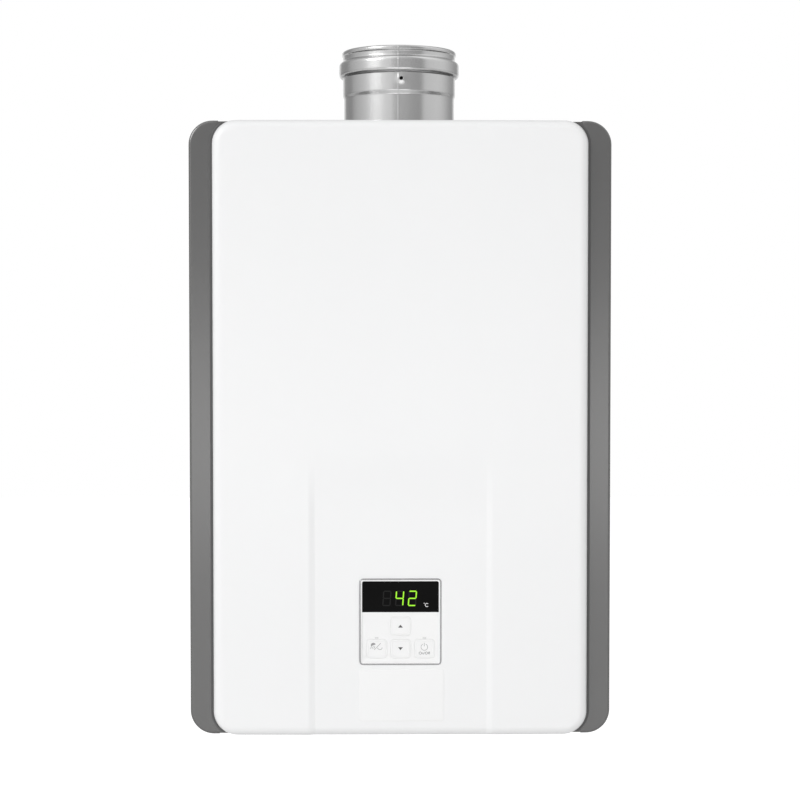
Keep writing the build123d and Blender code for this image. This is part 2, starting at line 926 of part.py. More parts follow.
# Burner bars: flat hollow bodies with a mouth at the bottom front and a row of ports along the top
bar_floor_z = burner_z + shell_wall
bar_top_z = bar_floor_z + bar_height
bar_back_y = -(stack_back + shell_wall + bar_end_gap)
bar_front_y = -(stack_front_d - shell_wall - bar_end_gap)
port_count = int((bar_back_y - bar_front_y - port_pitch) // port_pitch)
with BuildPart() as burner_bar:
    with BuildSketch(Plane.YZ) as bar_profile:
        with BuildLine():
            Polyline(
                (bar_front_y, bar_top_z),
                (bar_back_y, bar_top_z),
                (bar_back_y, bar_floor_z),
                (bar_front_y, bar_floor_z),
                (bar_front_y, bar_floor_z + bar_mouth),
                (bar_front_y + bar_notch, bar_floor_z + bar_mouth),
                (bar_front_y + bar_notch, bar_top_z - bar_head),
                (bar_front_y, bar_top_z - bar_head),
                close=True,
            )
        make_face()
        fillet(bar_profile.vertices().group_by(Axis.X)[-1].sort_by(Axis.Y)[0], bar_curve)
    extrude(amount=bar_thickness / 2, both=True)
    with BuildSketch(Plane.YZ):
        add(bar_profile.sketch_local)
        offset(amount=-bar_wall, kind=Kind.INTERSECTION)
    extrude(amount=bar_thickness / 2 - bar_wall, both=True, mode=Mode.SUBTRACT)
    with BuildSketch(Plane.XZ.offset(-bar_front_y)):
        with Locations((0, bar_floor_z + bar_mouth / 2)):
            Rectangle(bar_thickness - 2 * bar_wall, bar_mouth - 2 * bar_wall)
    extrude(amount=-bar_wall, mode=Mode.SUBTRACT)
    with BuildSketch(level(bar_top_z)):
        with Locations((0, (bar_back_y + bar_front_y) / 2)):
            with GridLocations(0, port_pitch, 1, port_count):
                Rectangle(bar_thickness, port_width)
    extrude(amount=-port_depth, mode=Mode.SUBTRACT)

with BuildPart() as burner_bars:
    with GridLocations(bar_pitch, 0, bar_count, 1):
        add(burner_bar.part)
save(burner_bars, "burner_bars")

# Gas manifold with one nozzle for each bar, on lugs against the burner box
manifold_back_d = stack_front_d + manifold_gap
manifold_mid_d = manifold_back_d + manifold_depth / 2
manifold_z = nozzle_z - manifold_height / 2
manifold_half = (bar_count - 1) * bar_pitch / 2 + lug_width
with BuildPart() as gas_manifold:
    with BuildSketch(upright(manifold_back_d)):
        with Locations((0, nozzle_z)):
            RectangleRounded(2 * manifold_half, manifold_height, manifold_round)
    extrude(amount=manifold_depth)
    with BuildSketch(upright(stack_front_d)):
        with Locations((0, nozzle_z)):
            with GridLocations(2 * manifold_half - lug_width, 0, 2, 1):
                with Locations((0, manifold_height / 2 - manifold_round)):
                    Rectangle(lug_width, manifold_round, align=(Align.CENTER, Align.MAX))
    extrude(amount=manifold_gap)
    with BuildSketch(upright(manifold_back_d)):
        with Locations((0, nozzle_z)):
            with GridLocations(bar_pitch, 0, bar_count, 1):
                Circle(nozzle_r)
    extrude(amount=-(manifold_gap + nozzle_reach))
save(gas_manifold, "gas_manifold")

# Igniter box and electrodes on the burner box's front wall
igniter_x = stack_half - igniter_inset - igniter_width / 2
igniter_z = burner_z + igniter_rise
with BuildPart() as igniter:
    with BuildSketch(upright(stack_front_d)):
        with Locations((igniter_x, igniter_z + igniter_height / 2)):
            Rectangle(igniter_width, igniter_height)
    extrude(amount=igniter_depth)
    fillet(igniter.edges().filter_by(Axis.Y), igniter_round)
    fillet(igniter.faces().sort_by(Axis.Y)[0].edges(), igniter_round)
save(igniter, "igniter")

electrode_z = burner_z + electrode_rise
with BuildPart() as electrodes:
    for electrode_x in electrode_xs:
        with BuildSketch(upright(stack_front_d - ceramic_back)):
            with Locations((electrode_x, electrode_z)):
                Circle(ceramic_r)
        extrude(amount=ceramic_back + ceramic_front)
        with BuildSketch(upright(stack_front_d)):
            with Locations((electrode_x, electrode_z)):
                RectangleRounded(electrode_flange, electrode_flange, ceramic_r)
        extrude(amount=plate_sheet)
        with BuildSketch(upright(stack_front_d - ceramic_back)):
            with Locations((electrode_x, electrode_z)):
                Circle(electrode_rod_r)
        extrude(amount=-electrode_rod)
save(electrodes, "electrodes")

# Primary heat exchanger: copper shell, fins, and tubes that cross it under the fins' collars
pass_pitch = (stack_depth - 2 * pass_inset) / (pass_count - 1)
pass_ys = [-(stack_front_d - pass_inset - index * pass_pitch) for index in range(pass_count)]
pass_z = primary_z + pass_rise
with BuildPart() as primary_shell:
    with BuildSketch(level(primary_z)):
        with Locations((0, -stack_mid_d)):
            Rectangle(stack_width, stack_depth)
            Rectangle(stack_width - 2 * shell_wall, stack_depth - 2 * shell_wall, mode=Mode.SUBTRACT)
    extrude(amount=primary_height)
    with BuildSketch(Plane.YZ):
        with Locations(*[(y, pass_z) for y in pass_ys]):
            Circle(tube_r + tube_fit)
    extrude(amount=stack_width, both=True, mode=Mode.SUBTRACT)
save(primary_shell, "primary_shell")

fin_count = int((stack_width - 2 * shell_wall - fin_pitch) // fin_pitch)
with BuildPart() as fin:
    with BuildSketch(Plane.YZ):
        with Locations((-stack_mid_d, pass_z)):
            Rectangle(stack_depth - 2 * shell_wall - 2 * fin_margin, fin_height)
        with Locations(*[(y, pass_z) for y in pass_ys]):
            Circle(tube_r + tube_fit, mode=Mode.SUBTRACT)
    extrude(amount=fin_sheet)

with BuildPart() as primary_fins:
    with GridLocations(fin_pitch, 0, fin_count, 1):
        add(fin.part)
save(primary_fins, "primary_fins")

tube_end_x = stack_half + tube_lead
with BuildPart() as primary_tubes:
    add(
        serpentine(
            level(pass_z),
            stack_half + tube_reach,
            pass_ys,
            tube_end_x,
            -tube_end_x,
            tube_r,
            tube_r - tube_wall,
        )
    )
save(primary_tubes, "primary_tubes")

# Chamber coil: the same tube wound twice round the shell on its way down
coil_side_x = stack_half + tube_r + coil_gap
coil_front_y = -(stack_front_d + tube_r + coil_gap)
coil_back_y = -(stack_back - tube_r - coil_gap)
coil_top_z = primary_z + coil_rise
coil_out_x = -(stack_half + coil_drop)
coil_corners = [
    (-coil_side_x, coil_front_y),
    (coil_side_x, coil_front_y),
    (coil_side_x, coil_back_y),
    (-coil_side_x, coil_back_y),
]
coil_points = [
    (-tube_end_x, pass_ys[-1], pass_z),
    (coil_out_x, pass_ys[-1], pass_z),
    (coil_out_x, pass_ys[-1], coil_top_z),
]
coil_sides = coil_turns * len(coil_corners) - 1
coil_step = coil_pitch / len(coil_corners)
for side_index in range(coil_sides):
    corner_x, corner_y = coil_corners[side_index % len(coil_corners)]
    coil_points.append((corner_x, corner_y, coil_top_z - side_index * coil_step))
coil_points.append((hot_x, coil_back_y, coil_top_z - coil_sides * coil_step))
coil_points.append((hot_x, coil_back_y, primary_z + coil_end_rise))
coil_bends = [coil_tight_bend, coil_tight_bend] + [coil_bend] * coil_sides + [coil_tight_bend]
with BuildPart() as chamber_coil:
    add(bent_tube(coil_points, coil_bends, tube_r, tube_r - tube_wall))
save(chamber_coil, "chamber_coil")

# Secondary heat exchanger: a ribbed stainless shell round a bundle of tubes with two headers
bundle_ds = [stack_mid_d + step * bundle_spread for step in (-1, 0, 1)]
bundle_top = bundle_base + (bundle_levels - 1) * bundle_pitch
header_in_z = secondary_z + bundle_top
header_out_z = secondary_z + bundle_base
header_out_x = stack_half + header_outset
drain_pipe_z = secondary_z + drain_pipe_rise
with BuildPart() as secondary_shell:
    with BuildSketch(level(secondary_z)):
        with Locations((0, -stack_mid_d)):
            Rectangle(stack_width, stack_depth)
            Rectangle(stack_width - 2 * shell_wall, stack_depth - 2 * shell_wall, mode=Mode.SUBTRACT)
    extrude(amount=secondary_height)
    with BuildSketch(upright(stack_front_d)):
        with Locations((0, secondary_z + secondary_height / 2)):
            with GridLocations(0, shell_rib_pitch, 1, shell_rib_count):
                SlotOverall(shell_rib_length, shell_rib_width)
    extrude(amount=shell_rib_height)
    with BuildSketch(Plane.YZ):
        with Locations(*[(-d, z) for d in bundle_ds for z in (header_in_z, header_out_z)]):
            Circle(bundle_r + tube_fit)
    extrude(amount=stack_width, mode=Mode.SUBTRACT)
    with BuildSketch(Plane.YZ):
        with Locations((-drain_pipe_d, drain_pipe_z)):
            Circle(drain_pipe_bore)
    extrude(amount=-stack_width, mode=Mode.SUBTRACT)
save(secondary_shell, "secondary_shell")

bundle_zs = [secondary_z + bundle_top - index * bundle_pitch for index in range(bundle_levels)]
bundle_reach = stack_half - bundle_inset
link_d = stack_front_d - pass_inset
with BuildPart() as secondary_tubes:
    for bundle_d in bundle_ds:
        add(
            serpentine(
                upright(bundle_d),
                bundle_reach,
                bundle_zs,
                riser_x,
                header_out_x,
                bundle_r,
                bundle_r - tube_wall,
            )
        )
    with BuildSketch(upright(water_d - header_r)):
        with Locations((riser_x, header_in_z)):
            Circle(header_r)
    extrude(amount=bundle_ds[-1] + header_end - water_d)
    with BuildSketch(upright(bundle_ds[0] - header_r)):
        with Locations((header_out_x, header_out_z)):
            Circle(header_r)
    extrude(amount=link_d + header_r - bundle_ds[0] + header_r)
save(secondary_tubes, "secondary_tubes")

# Exhaust hood and spigot
with BuildPart() as exhaust_hood:
    with BuildSketch(level(hood_z)):
        with Locations((0, -stack_mid_d)):
            Rectangle(stack_width, stack_depth)
    with BuildSketch(level(spigot_z)):
        with Locations((0, -stack_mid_d)):
            Rectangle(hood_mouth, hood_mouth)
    loft()
    with BuildSketch(level(hood_z)):
        with Locations((0, -stack_mid_d)):
            Rectangle(stack_width - 2 * hood_wall, stack_depth - 2 * hood_wall)
    with BuildSketch(level(spigot_z - hood_wall)):
        with Locations((0, -stack_mid_d)):
            Rectangle(hood_mouth - 2 * hood_wall, hood_mouth - 2 * hood_wall)
    loft(mode=Mode.SUBTRACT)
    with BuildSketch(level(spigot_z)):
        with Locations((0, -stack_mid_d)):
            Circle(spigot_r + sleeve_fit + hood_wall)
            Circle(spigot_r + sleeve_fit, mode=Mode.SUBTRACT)
    extrude(amount=sleeve_height)
    with Locations((0, -stack_mid_d, spigot_z)):
        Hole(spigot_r - spigot_wall, depth=2 * hood_wall)
save(exhaust_hood, "exhaust_hood")

with BuildPart() as exhaust_spigot:
    with BuildSketch(level(spigot_z)):
        with Locations((0, -flue_d)):
            Circle(spigot_r)
            Circle(spigot_r - spigot_wall, mode=Mode.SUBTRACT)
    extrude(amount=roof_z + spigot_rise - spigot_z)
save(exhaust_spigot, "exhaust_spigot")


def pipe_end(x, d, outer, bore, top_z):
    # A male pipe end below the case, with a collar under the bottom panel and a bore right through
    with BuildPart() as end:
        with BuildSketch(level(floor_z - stub_drop)):
            with Locations((x, -d)):
                Circle(outer)
        extrude(amount=deck_z - floor_z + stub_drop)
        with BuildSketch(level(deck_under_z)):
            with Locations((x, -d)):
                Circle(collar_r)
        extrude(amount=-collar_height)
        with BuildSketch(level(floor_z - stub_drop)):
            with Locations((x, -d)):
                Circle(bore)
        extrude(amount=top_z - floor_z + stub_drop, mode=Mode.SUBTRACT)
    return end.part


# Gas inlet, and the valve that stands on it
gas_valve_z = floor_z + gas_rise
gas_valve_top_z = gas_valve_z + gas_valve_height
gas_front_d = gas_d + gas_valve_depth / 2
gas_coil_zs = [gas_valve_z + gas_valve_height / 2 + side * gas_coil_spread / 2 for side in (-1, 1)]
with BuildPart() as gas_inlet:
    with BuildSketch(level(deck_z)):
        with Locations((gas_x, -gas_d)):
            RectangleRounded(inlet_flange, inlet_flange, inlet_block_round)
    extrude(amount=inlet_flange_height)
    with BuildSketch(level(deck_z)):
        with Locations((gas_x, -gas_d)):
            Circle(inlet_tube_r)
    extrude(amount=gas_valve_z - deck_z)
    with BuildSketch(level(deck_z)):
        with Locations((gas_x, -gas_d)):
            Circle(stub_bore)
    extrude(amount=gas_valve_z - deck_z, mode=Mode.SUBTRACT)
    add(pipe_end(gas_x, gas_d, stub_r, stub_bore, deck_z))
save(gas_inlet, "gas_inlet")

with BuildPart() as gas_valve_body:
    with BuildSketch(level(gas_valve_z)):
        with Locations((gas_x, -gas_d)):
            RectangleRounded(gas_valve_width, gas_valve_depth, gas_valve_round)
    extrude(amount=gas_valve_height)
    fillet(gas_valve_body.faces().sort_by(Axis.Z)[-1].edges(), gas_valve_round / 2)
    with BuildSketch(upright(gas_front_d)):
        with Locations(*[(gas_x, z) for z in gas_coil_zs]):
            Circle(plunger_r + plunger_fit)
    extrude(amount=-plunger_bore, mode=Mode.SUBTRACT)
save(gas_valve_body, "gas_valve_body")

with BuildPart() as gas_valve_coils:
    with BuildSketch(upright(gas_front_d)):
        with Locations(*[(gas_x, z) for z in gas_coil_zs]):
            Circle(gas_coil_r)
    extrude(amount=gas_coil_length)
    with BuildSketch(upright(gas_front_d)):
        with Locations(*[(gas_x, z) for z in gas_coil_zs]):
            Circle(plunger_r + plunger_fit)
    extrude(amount=gas_coil_length - gas_coil_cap, mode=Mode.SUBTRACT)
save(gas_valve_coils, "gas_valve_coils")


def plunger_rod(z):
    with BuildPart() as rod:
        with BuildSketch(upright(gas_front_d - plunger_seat)):
            with Locations((gas_x, z)):
                Circle(plunger_r)
        extrude(amount=plunger_length)
    return rod


save(plunger_rod(gas_coil_zs[0]), "shutoff_plunger")
save(plunger_rod(gas_coil_zs[1]), "modulator_plunger")

gas_cross_z = (gas_valve_top_z + manifold_z) / 2
with BuildPart() as gas_pipe:
    gas_points = [
        (gas_x, -gas_d, gas_valve_top_z),
        (gas_x, -gas_d, gas_cross_z),
        (gas_x, -manifold_mid_d, gas_cross_z),
        (gas_x, -manifold_mid_d, manifold_z),
    ]
    add(bent_tube(gas_points, gas_pipe_bend, gas_pipe_r, gas_pipe_bore))
save(gas_pipe, "gas_pipe")

# Cold water inlet block with its strainer plug
inlet_top_z = deck_z + inlet_block_height
with BuildPart() as water_inlet:
    with BuildSketch(level(deck_z)):
        block_depth = inlet_block_back + inlet_block_front
        with Locations((water_x, -water_d + inlet_block_back - block_depth / 2)):
            RectangleRounded(inlet_block_width, block_depth, inlet_block_round)
    extrude(amount=inlet_block_height)
    with Locations((water_x, -water_d, inlet_top_z)):
        Hole(stub_bore)
    with BuildSketch(level(deck_z)):
        with Locations((water_x, -filter_d)):
            Circle(filter_r)
    extrude(amount=filter_depth, mode=Mode.SUBTRACT)
    with BuildSketch(upright(water_d)):
        with Locations((water_x, deck_z + filter_depth / 2)):
            Circle(filter_mesh_r - filter_mesh_wall)
    extrude(amount=filter_offset, mode=Mode.SUBTRACT)
    add(pipe_end(water_x, water_d, stub_r, stub_bore, deck_z))
save(water_inlet, "water_inlet")

with BuildPart() as filter_plug:
    knob_top_z = deck_under_z - knob_gap
    with BuildSketch(level(knob_top_z)):
        with Locations((water_x, -filter_d)):
            Circle(knob_r)
            with PolarLocations(knob_r, knob_grip_count):
                Circle(knob_grip_r, mode=Mode.SUBTRACT)
    extrude(amount=-knob_height)
    with BuildSketch(level(knob_top_z)):
        with Locations((water_x, -filter_d)):
            Circle(filter_r - filter_fit)
    extrude(amount=deck_z + filter_seat - knob_top_z)
    with BuildSketch(level(deck_z + filter_seat)):
        with Locations((water_x, -filter_d)):
            Circle(filter_mesh_r)
            Circle(filter_mesh_r - filter_mesh_wall, mode=Mode.SUBTRACT)
    extrude(amount=filter_mesh_length)
save(filter_plug, "filter_plug")

# Flow sensor: a tube with a spider at each end, which carries the turbine's shaft
sensor_top_z = inlet_top_z + sensor_height
spider_zs = (inlet_top_z + spider_inset, sensor_top_z - spider_inset - spider_sheet)
with BuildPart() as flow_sensor_body:
    with BuildSketch(level(inlet_top_z)):
        with Locations((water_x, -water_d)):
            Circle(sensor_r)
            Circle(sensor_bore, mode=Mode.SUBTRACT)
    extrude(amount=sensor_height)
    for spider_z in spider_zs:
        with BuildSketch(level(spider_z)):
            with Locations((water_x, -water_d)):
                Circle(spider_hub_r)
                with PolarLocations(sensor_bore / 2, spider_arms):
                    Rectangle(sensor_bore + spider_bar, spider_bar)
                Circle(turbine_shaft_r + shaft_fit, mode=Mode.SUBTRACT)
        extrude(amount=spider_sheet)
save(flow_sensor_body, "flow_sensor_body")

with BuildPart() as flow_turbine:
    turbine_z = spider_zs[0] + spider_sheet + turbine_gap
    turbine_length = spider_zs[1] - turbine_gap - turbine_z
    with BuildSketch(level(turbine_z)):
        with Locations((water_x, -water_d)):
            Circle(turbine_hub_r)
    extrude(amount=turbine_length)
    with Locations((water_x, -water_d, turbine_z + turbine_length / 2)):
        with PolarLocations(turbine_r / 2, turbine_blades):
            Box(
                turbine_r - turbine_shaft_r,
                turbine_blade,
                turbine_length / 2,
                rotation=(turbine_pitch, 0, 0),
            )
    with BuildSketch(level(turbine_z)):
        with Locations((water_x, -water_d)):
            Circle(turbine_r)
    extrude(amount=turbine_length, mode=Mode.INTERSECT)
    with BuildSketch(level(spider_zs[0])):
        with Locations((water_x, -water_d)):
            Circle(turbine_shaft_r)
    extrude(amount=spider_zs[1] + spider_sheet - spider_zs[0])
save(flow_turbine, "flow_turbine")

# Water valve: a plug that a small motor turns across the flow
valve_top_z = sensor_top_z + valve_height
valve_mid_z = sensor_top_z + valve_height / 2
with BuildPart() as water_valve_body:
    with BuildSketch(level(sensor_top_z)):
        with Locations((water_x, -water_d)):
            Circle(valve_r)
    extrude(amount=valve_height)
    with BuildSketch(Plane.YZ.offset(water_x - valve_boss_reach)):
        with Locations((-water_d, valve_mid_z)):
            Circle(valve_boss_r)
    extrude(amount=valve_boss_reach)
    with Locations((water_x, -water_d, valve_top_z)):
        Hole(valve_bore)
    with BuildSketch(Plane.YZ.offset(water_x - valve_boss_reach)):
        with Locations((-water_d, valve_mid_z)):
            Circle(plug_r + plug_fit)
    extrude(amount=valve_boss_reach + plug_half + plug_end_gap, mode=Mode.SUBTRACT)
save(water_valve_body, "water_valve_body")

with BuildPart() as valve_plug:
    with BuildSketch(Plane.YZ.offset(water_x - plug_half)):
        with Locations((-water_d, valve_mid_z)):
            Circle(plug_r)
    extrude(amount=2 * plug_half)
    with BuildSketch(Plane.YZ.offset(water_x - plug_stem_reach)):
        with Locations((-water_d, valve_mid_z)):
            Circle(plug_stem_r)
    extrude(amount=plug_stem_reach)
    with Locations((water_x, -water_d, valve_mid_z + plug_r)):
        Hole(plug_port_r)
save(valve_plug, "valve_plug")

with BuildPart() as valve_motor:
    with BuildSketch(Plane.YZ.offset(water_x - valve_boss_reach)):
        with Locations((-water_d, valve_mid_z)):
            RectangleRounded(valve_motor_size, valve_motor_size, valve_motor_round)
    extrude(amount=-valve_motor_length)
    with BuildSketch(Plane.YZ.offset(water_x - valve_boss_reach)):
        with Locations((-water_d, valve_mid_z)):
            Circle(plug_stem_r + plug_fit)
    extrude(amount=valve_boss_reach - plug_stem_reach - plug_stem_r, mode=Mode.SUBTRACT)
save(valve_motor, "valve_motor")

# Water pipes
with BuildPart() as cold_pipe:
    cold_points = [
        (water_x, -water_d, valve_top_z),
        (water_x, -water_d, valve_top_z + riser_start),
        (riser_x, -water_d, valve_top_z + riser_start + riser_jog),
        (riser_x, -water_d, header_in_z - header_r),
    ]
    add(bent_tube(cold_points, pipe_bend, pipe_r, pipe_r - tube_wall))
save(cold_pipe, "cold_pipe")

with BuildPart() as link_pipe:
    link_points = [
        (header_out_x, -link_d, header_out_z - header_r),
        (header_out_x, -link_d, pass_z),
        (tube_end_x, -link_d, pass_z),
    ]
    add(bent_tube(link_points, coil_tight_bend, tube_r, tube_r - tube_wall))
save(link_pipe, "link_pipe")

hot_top_z = deck_z + hot_block_height
with BuildPart() as hot_pipe:
    hot_points = [
        (hot_x, coil_back_y, primary_z + coil_end_rise),
        (hot_x, coil_back_y, floor_z + hot_pipe_rise),
        (hot_end_x, -hot_d, floor_z + hot_pipe_rise),
        (hot_end_x, -hot_d, hot_top_z),
    ]
    add(bent_tube(hot_points, pipe_bend, tube_r, tube_r - tube_wall))
save(hot_pipe, "hot_pipe")

with BuildPart() as hot_outlet:
    with BuildSketch(level(deck_z)):
        with Locations((hot_end_x, -hot_d)):
            RegularPolygon(hot_block_r, 6)
    extrude(amount=hot_block_height)
    with Locations((hot_end_x, -hot_d, hot_top_z)):
        Hole(tube_r - tube_wall)
    add(pipe_end(hot_end_x, hot_d, stub_r, tube_r - tube_wall, deck_z))
save(hot_outlet, "hot_outlet")

# Condensate trap on the back panel, and the pipe that feeds it
trap_z = deck_z + trap_rise
trap_top_z = trap_z + trap_height
trap_in_x = trap_x + trap_spigot_x
trap_in_d = back_inner_d + trap_spigot_d
with BuildPart() as condensate_trap:
    with BuildSketch(upright(back_inner_d)):
        with Locations((trap_x, trap_z + trap_height / 2)):
            RectangleRounded(trap_width, trap_height, trap_round)
    extrude(amount=trap_depth)
    fillet(condensate_trap.faces().sort_by(Axis.Y)[0].edges(), trap_round / 2)
    with BuildSketch(upright(back_inner_d + trap_wall)):
        with Locations((trap_x, trap_z + trap_height / 2)):
            RectangleRounded(trap_width - 2 * trap_wall, trap_height - 2 * trap_wall, trap_round - trap_wall)
    extrude(amount=trap_depth - 2 * trap_wall, mode=Mode.SUBTRACT)
    with BuildSketch(upright(back_inner_d + trap_depth)):
        with Locations((trap_x, trap_z + trap_height / 2)):
            with GridLocations(trap_rib_pitch, 0, trap_rib_count, 1):
                SlotOverall(trap_height - 2 * trap_round, trap_rib, rotation=90)
    extrude(amount=trap_rib / 2)
    with BuildSketch(level(trap_top_z - trap_round)):
        with Locations((trap_in_x, -trap_in_d)):
            Circle(trap_spigot_r)
    extrude(amount=trap_round + trap_spigot_rise)
    with BuildSketch(level(floor_z - stub_drop)):
        with Locations((trap_x, -trap_drain_place)):
            Circle(drain_r)
    extrude(amount=trap_z + trap_round - floor_z + stub_drop)
    with BuildSketch(level(deck_under_z)):
        with Locations((trap_x, -trap_drain_place)):
            Circle(drain_r + collar_height)
    extrude(amount=-collar_height)
    with BuildSketch(level(floor_z - stub_drop)):
        with Locations((trap_x, -trap_drain_place)):
            Circle(drain_bore)
    extrude(amount=trap_z + trap_round - floor_z + stub_drop, mode=Mode.SUBTRACT)
    with BuildSketch(level(trap_top_z - trap_round)):
        with Locations((trap_in_x, -trap_in_d)):
            Circle(drain_pipe_bore)
    extrude(amount=trap_round + trap_spigot_rise, mode=Mode.SUBTRACT)
save(condensate_trap, "condensate_trap")

with BuildPart() as condensate_pipe:
    drain_x = -(side_inner_x - drain_pipe_outset)
    cross_z = floor_z + drain_pipe_cross
    drain_points = [
        (-stack_half, -drain_pipe_d, drain_pipe_z),
        (drain_x, -drain_pipe_d, drain_pipe_z),
        (drain_x, -drain_pipe_d, cross_z),
        (drain_x, -trap_in_d, cross_z),
        (trap_in_x, -trap_in_d, cross_z),
        (trap_in_x, -trap_in_d, trap_top_z + trap_spigot_rise),
    ]
    add(bent_tube(drain_points, drain_pipe_bend, drain_pipe_r, drain_pipe_bore))
save(condensate_pipe, "condensate_pipe")

# Board tray on two legs, and the control board with its larger components
tray_front_d = shoulder_d - tray_front_gap
tray_back_d = tray_front_d - tray_depth
tray_z = floor_z + tray_rise
tray_mid_z = tray_z + tray_height / 2
board_width = tray_width - 2 * tray_wall - 2 * board_margin
board_height = tray_height - 2 * tray_wall - 2 * board_margin
board_d = tray_back_d + tray_wall + tray_boss
boss_spacing = (board_width - 2 * tray_boss_r, board_height - 2 * tray_boss_r)
with BuildPart() as board_tray:
    with BuildSketch(upright(tray_back_d)):
        with Locations((tray_x, tray_mid_z)):
            RectangleRounded(tray_width, tray_height, board_margin)
    extrude(amount=tray_depth)
    offset(amount=-tray_wall, openings=board_tray.faces().sort_by(Axis.Y)[0])
    with BuildSketch(upright(tray_back_d)):
        with Locations((tray_x, tray_mid_z)):
            with GridLocations(*boss_spacing, 2, 2):
                Circle(tray_boss_r)
    extrude(amount=tray_wall + tray_boss)
    with BuildSketch(level(deck_z)):
        with Locations((tray_x, tray_leg / 2 - tray_back_d - tray_leg)):
            with GridLocations(tray_width - 2 * tray_leg, 0, 2, 1):
                Rectangle(tray_leg, tray_leg)
                Rectangle(tray_leg - 2 * tray_wall, tray_leg - 2 * tray_wall, mode=Mode.SUBTRACT)
    extrude(amount=tray_z - deck_z)
save(board_tray, "board_tray")

board_front_d = board_d + board_sheet
board_left_x = tray_x - board_width / 2 + component_edge
board_right_x = tray_x + board_width / 2 - component_edge
board_top_z = tray_mid_z + board_height / 2 - component_edge
board_low_z = tray_mid_z - board_height / 2 + component_edge
with BuildPart() as control_board:
    with BuildSketch(upright(board_d)):
        with Locations((tray_x, tray_mid_z)):
            Rectangle(board_width, board_height)
    extrude(amount=board_sheet)
    with BuildSketch(upright(board_front_d)):
        with Locations((board_left_x + transformer_width / 2, board_top_z - transformer_height / 2)):
            Rectangle(transformer_width, transformer_height)
    extrude(amount=transformer_depth)
    with BuildSketch(upright(board_front_d)):
        with Locations((board_right_x - capacitor_spread, board_top_z - capacitor_spread)):
            with GridLocations(capacitor_spread, capacitor_spread, 2, 2):
                Circle(capacitor_r)
    extrude(amount=capacitor_depth)
    with BuildSketch(upright(board_front_d)):
        with Locations((tray_x, tray_mid_z - relay_height)):
            with GridLocations(relay_pitch, 0, relay_count, 1):
                Rectangle(relay_width, relay_height)
    extrude(amount=relay_depth)
    with BuildSketch(upright(board_front_d)):
        with Locations((tray_x, board_low_z + socket_height / 2)):
            with GridLocations(socket_pitch, 0, socket_count, 1):
                Rectangle(socket_width, socket_height)
    extrude(amount=socket_depth)
save(control_board, "control_board")

# Cord gland in the bottom panel
with BuildPart() as cord_gland:
    with BuildSketch(level(deck_under_z)):
        with Locations((gland_x, -gland_d)):
            Circle(gland_flange_r)
    extrude(amount=-collar_height)
    with BuildSketch(level(deck_under_z - gland_reach)):
        with Locations((gland_x, -gland_d)):
            Circle(gland_r)
    extrude(amount=2 * gland_reach + sheet)
    with BuildSketch(level(deck_z)):
        with Locations((gland_x, -gland_d)):
            RegularPolygon(gland_flange_r, 6)
    extrude(amount=collar_height)
    with Locations((gland_x, -gland_d, deck_z + gland_reach)):
        Hole(gland_bore)
save(cord_gland, "cord_gland")

# Controller bracket: a plate behind the bottom panel's front fold, with folded sides
controller_back_d = shoulder_d - sheet
plate_half = controller_width / 2 + plate_margin
plate_top_z = controller_z + controller_height / 2 + plate_margin
with BuildPart() as controller_bracket:
    with BuildSketch(level(deck_z)):
        with Locations((0, plate_flange / 2 - controller_back_d)):
            Rectangle(2 * plate_half, plate_flange)
        with Locations((0, plate_flange / 2 - controller_back_d + plate_sheet)):
            Rectangle(2 * plate_half - 2 * plate_sheet, plate_flange, mode=Mode.SUBTRACT)
    extrude(amount=plate_top_z - deck_z)
    with BuildSketch(upright(controller_back_d)):
        with Locations((0, controller_z)):
            RectangleRounded(plate_window, plate_window, controller_corner)
    extrude(amount=-plate_sheet, mode=Mode.SUBTRACT)
save(controller_bracket, "controller_bracket")

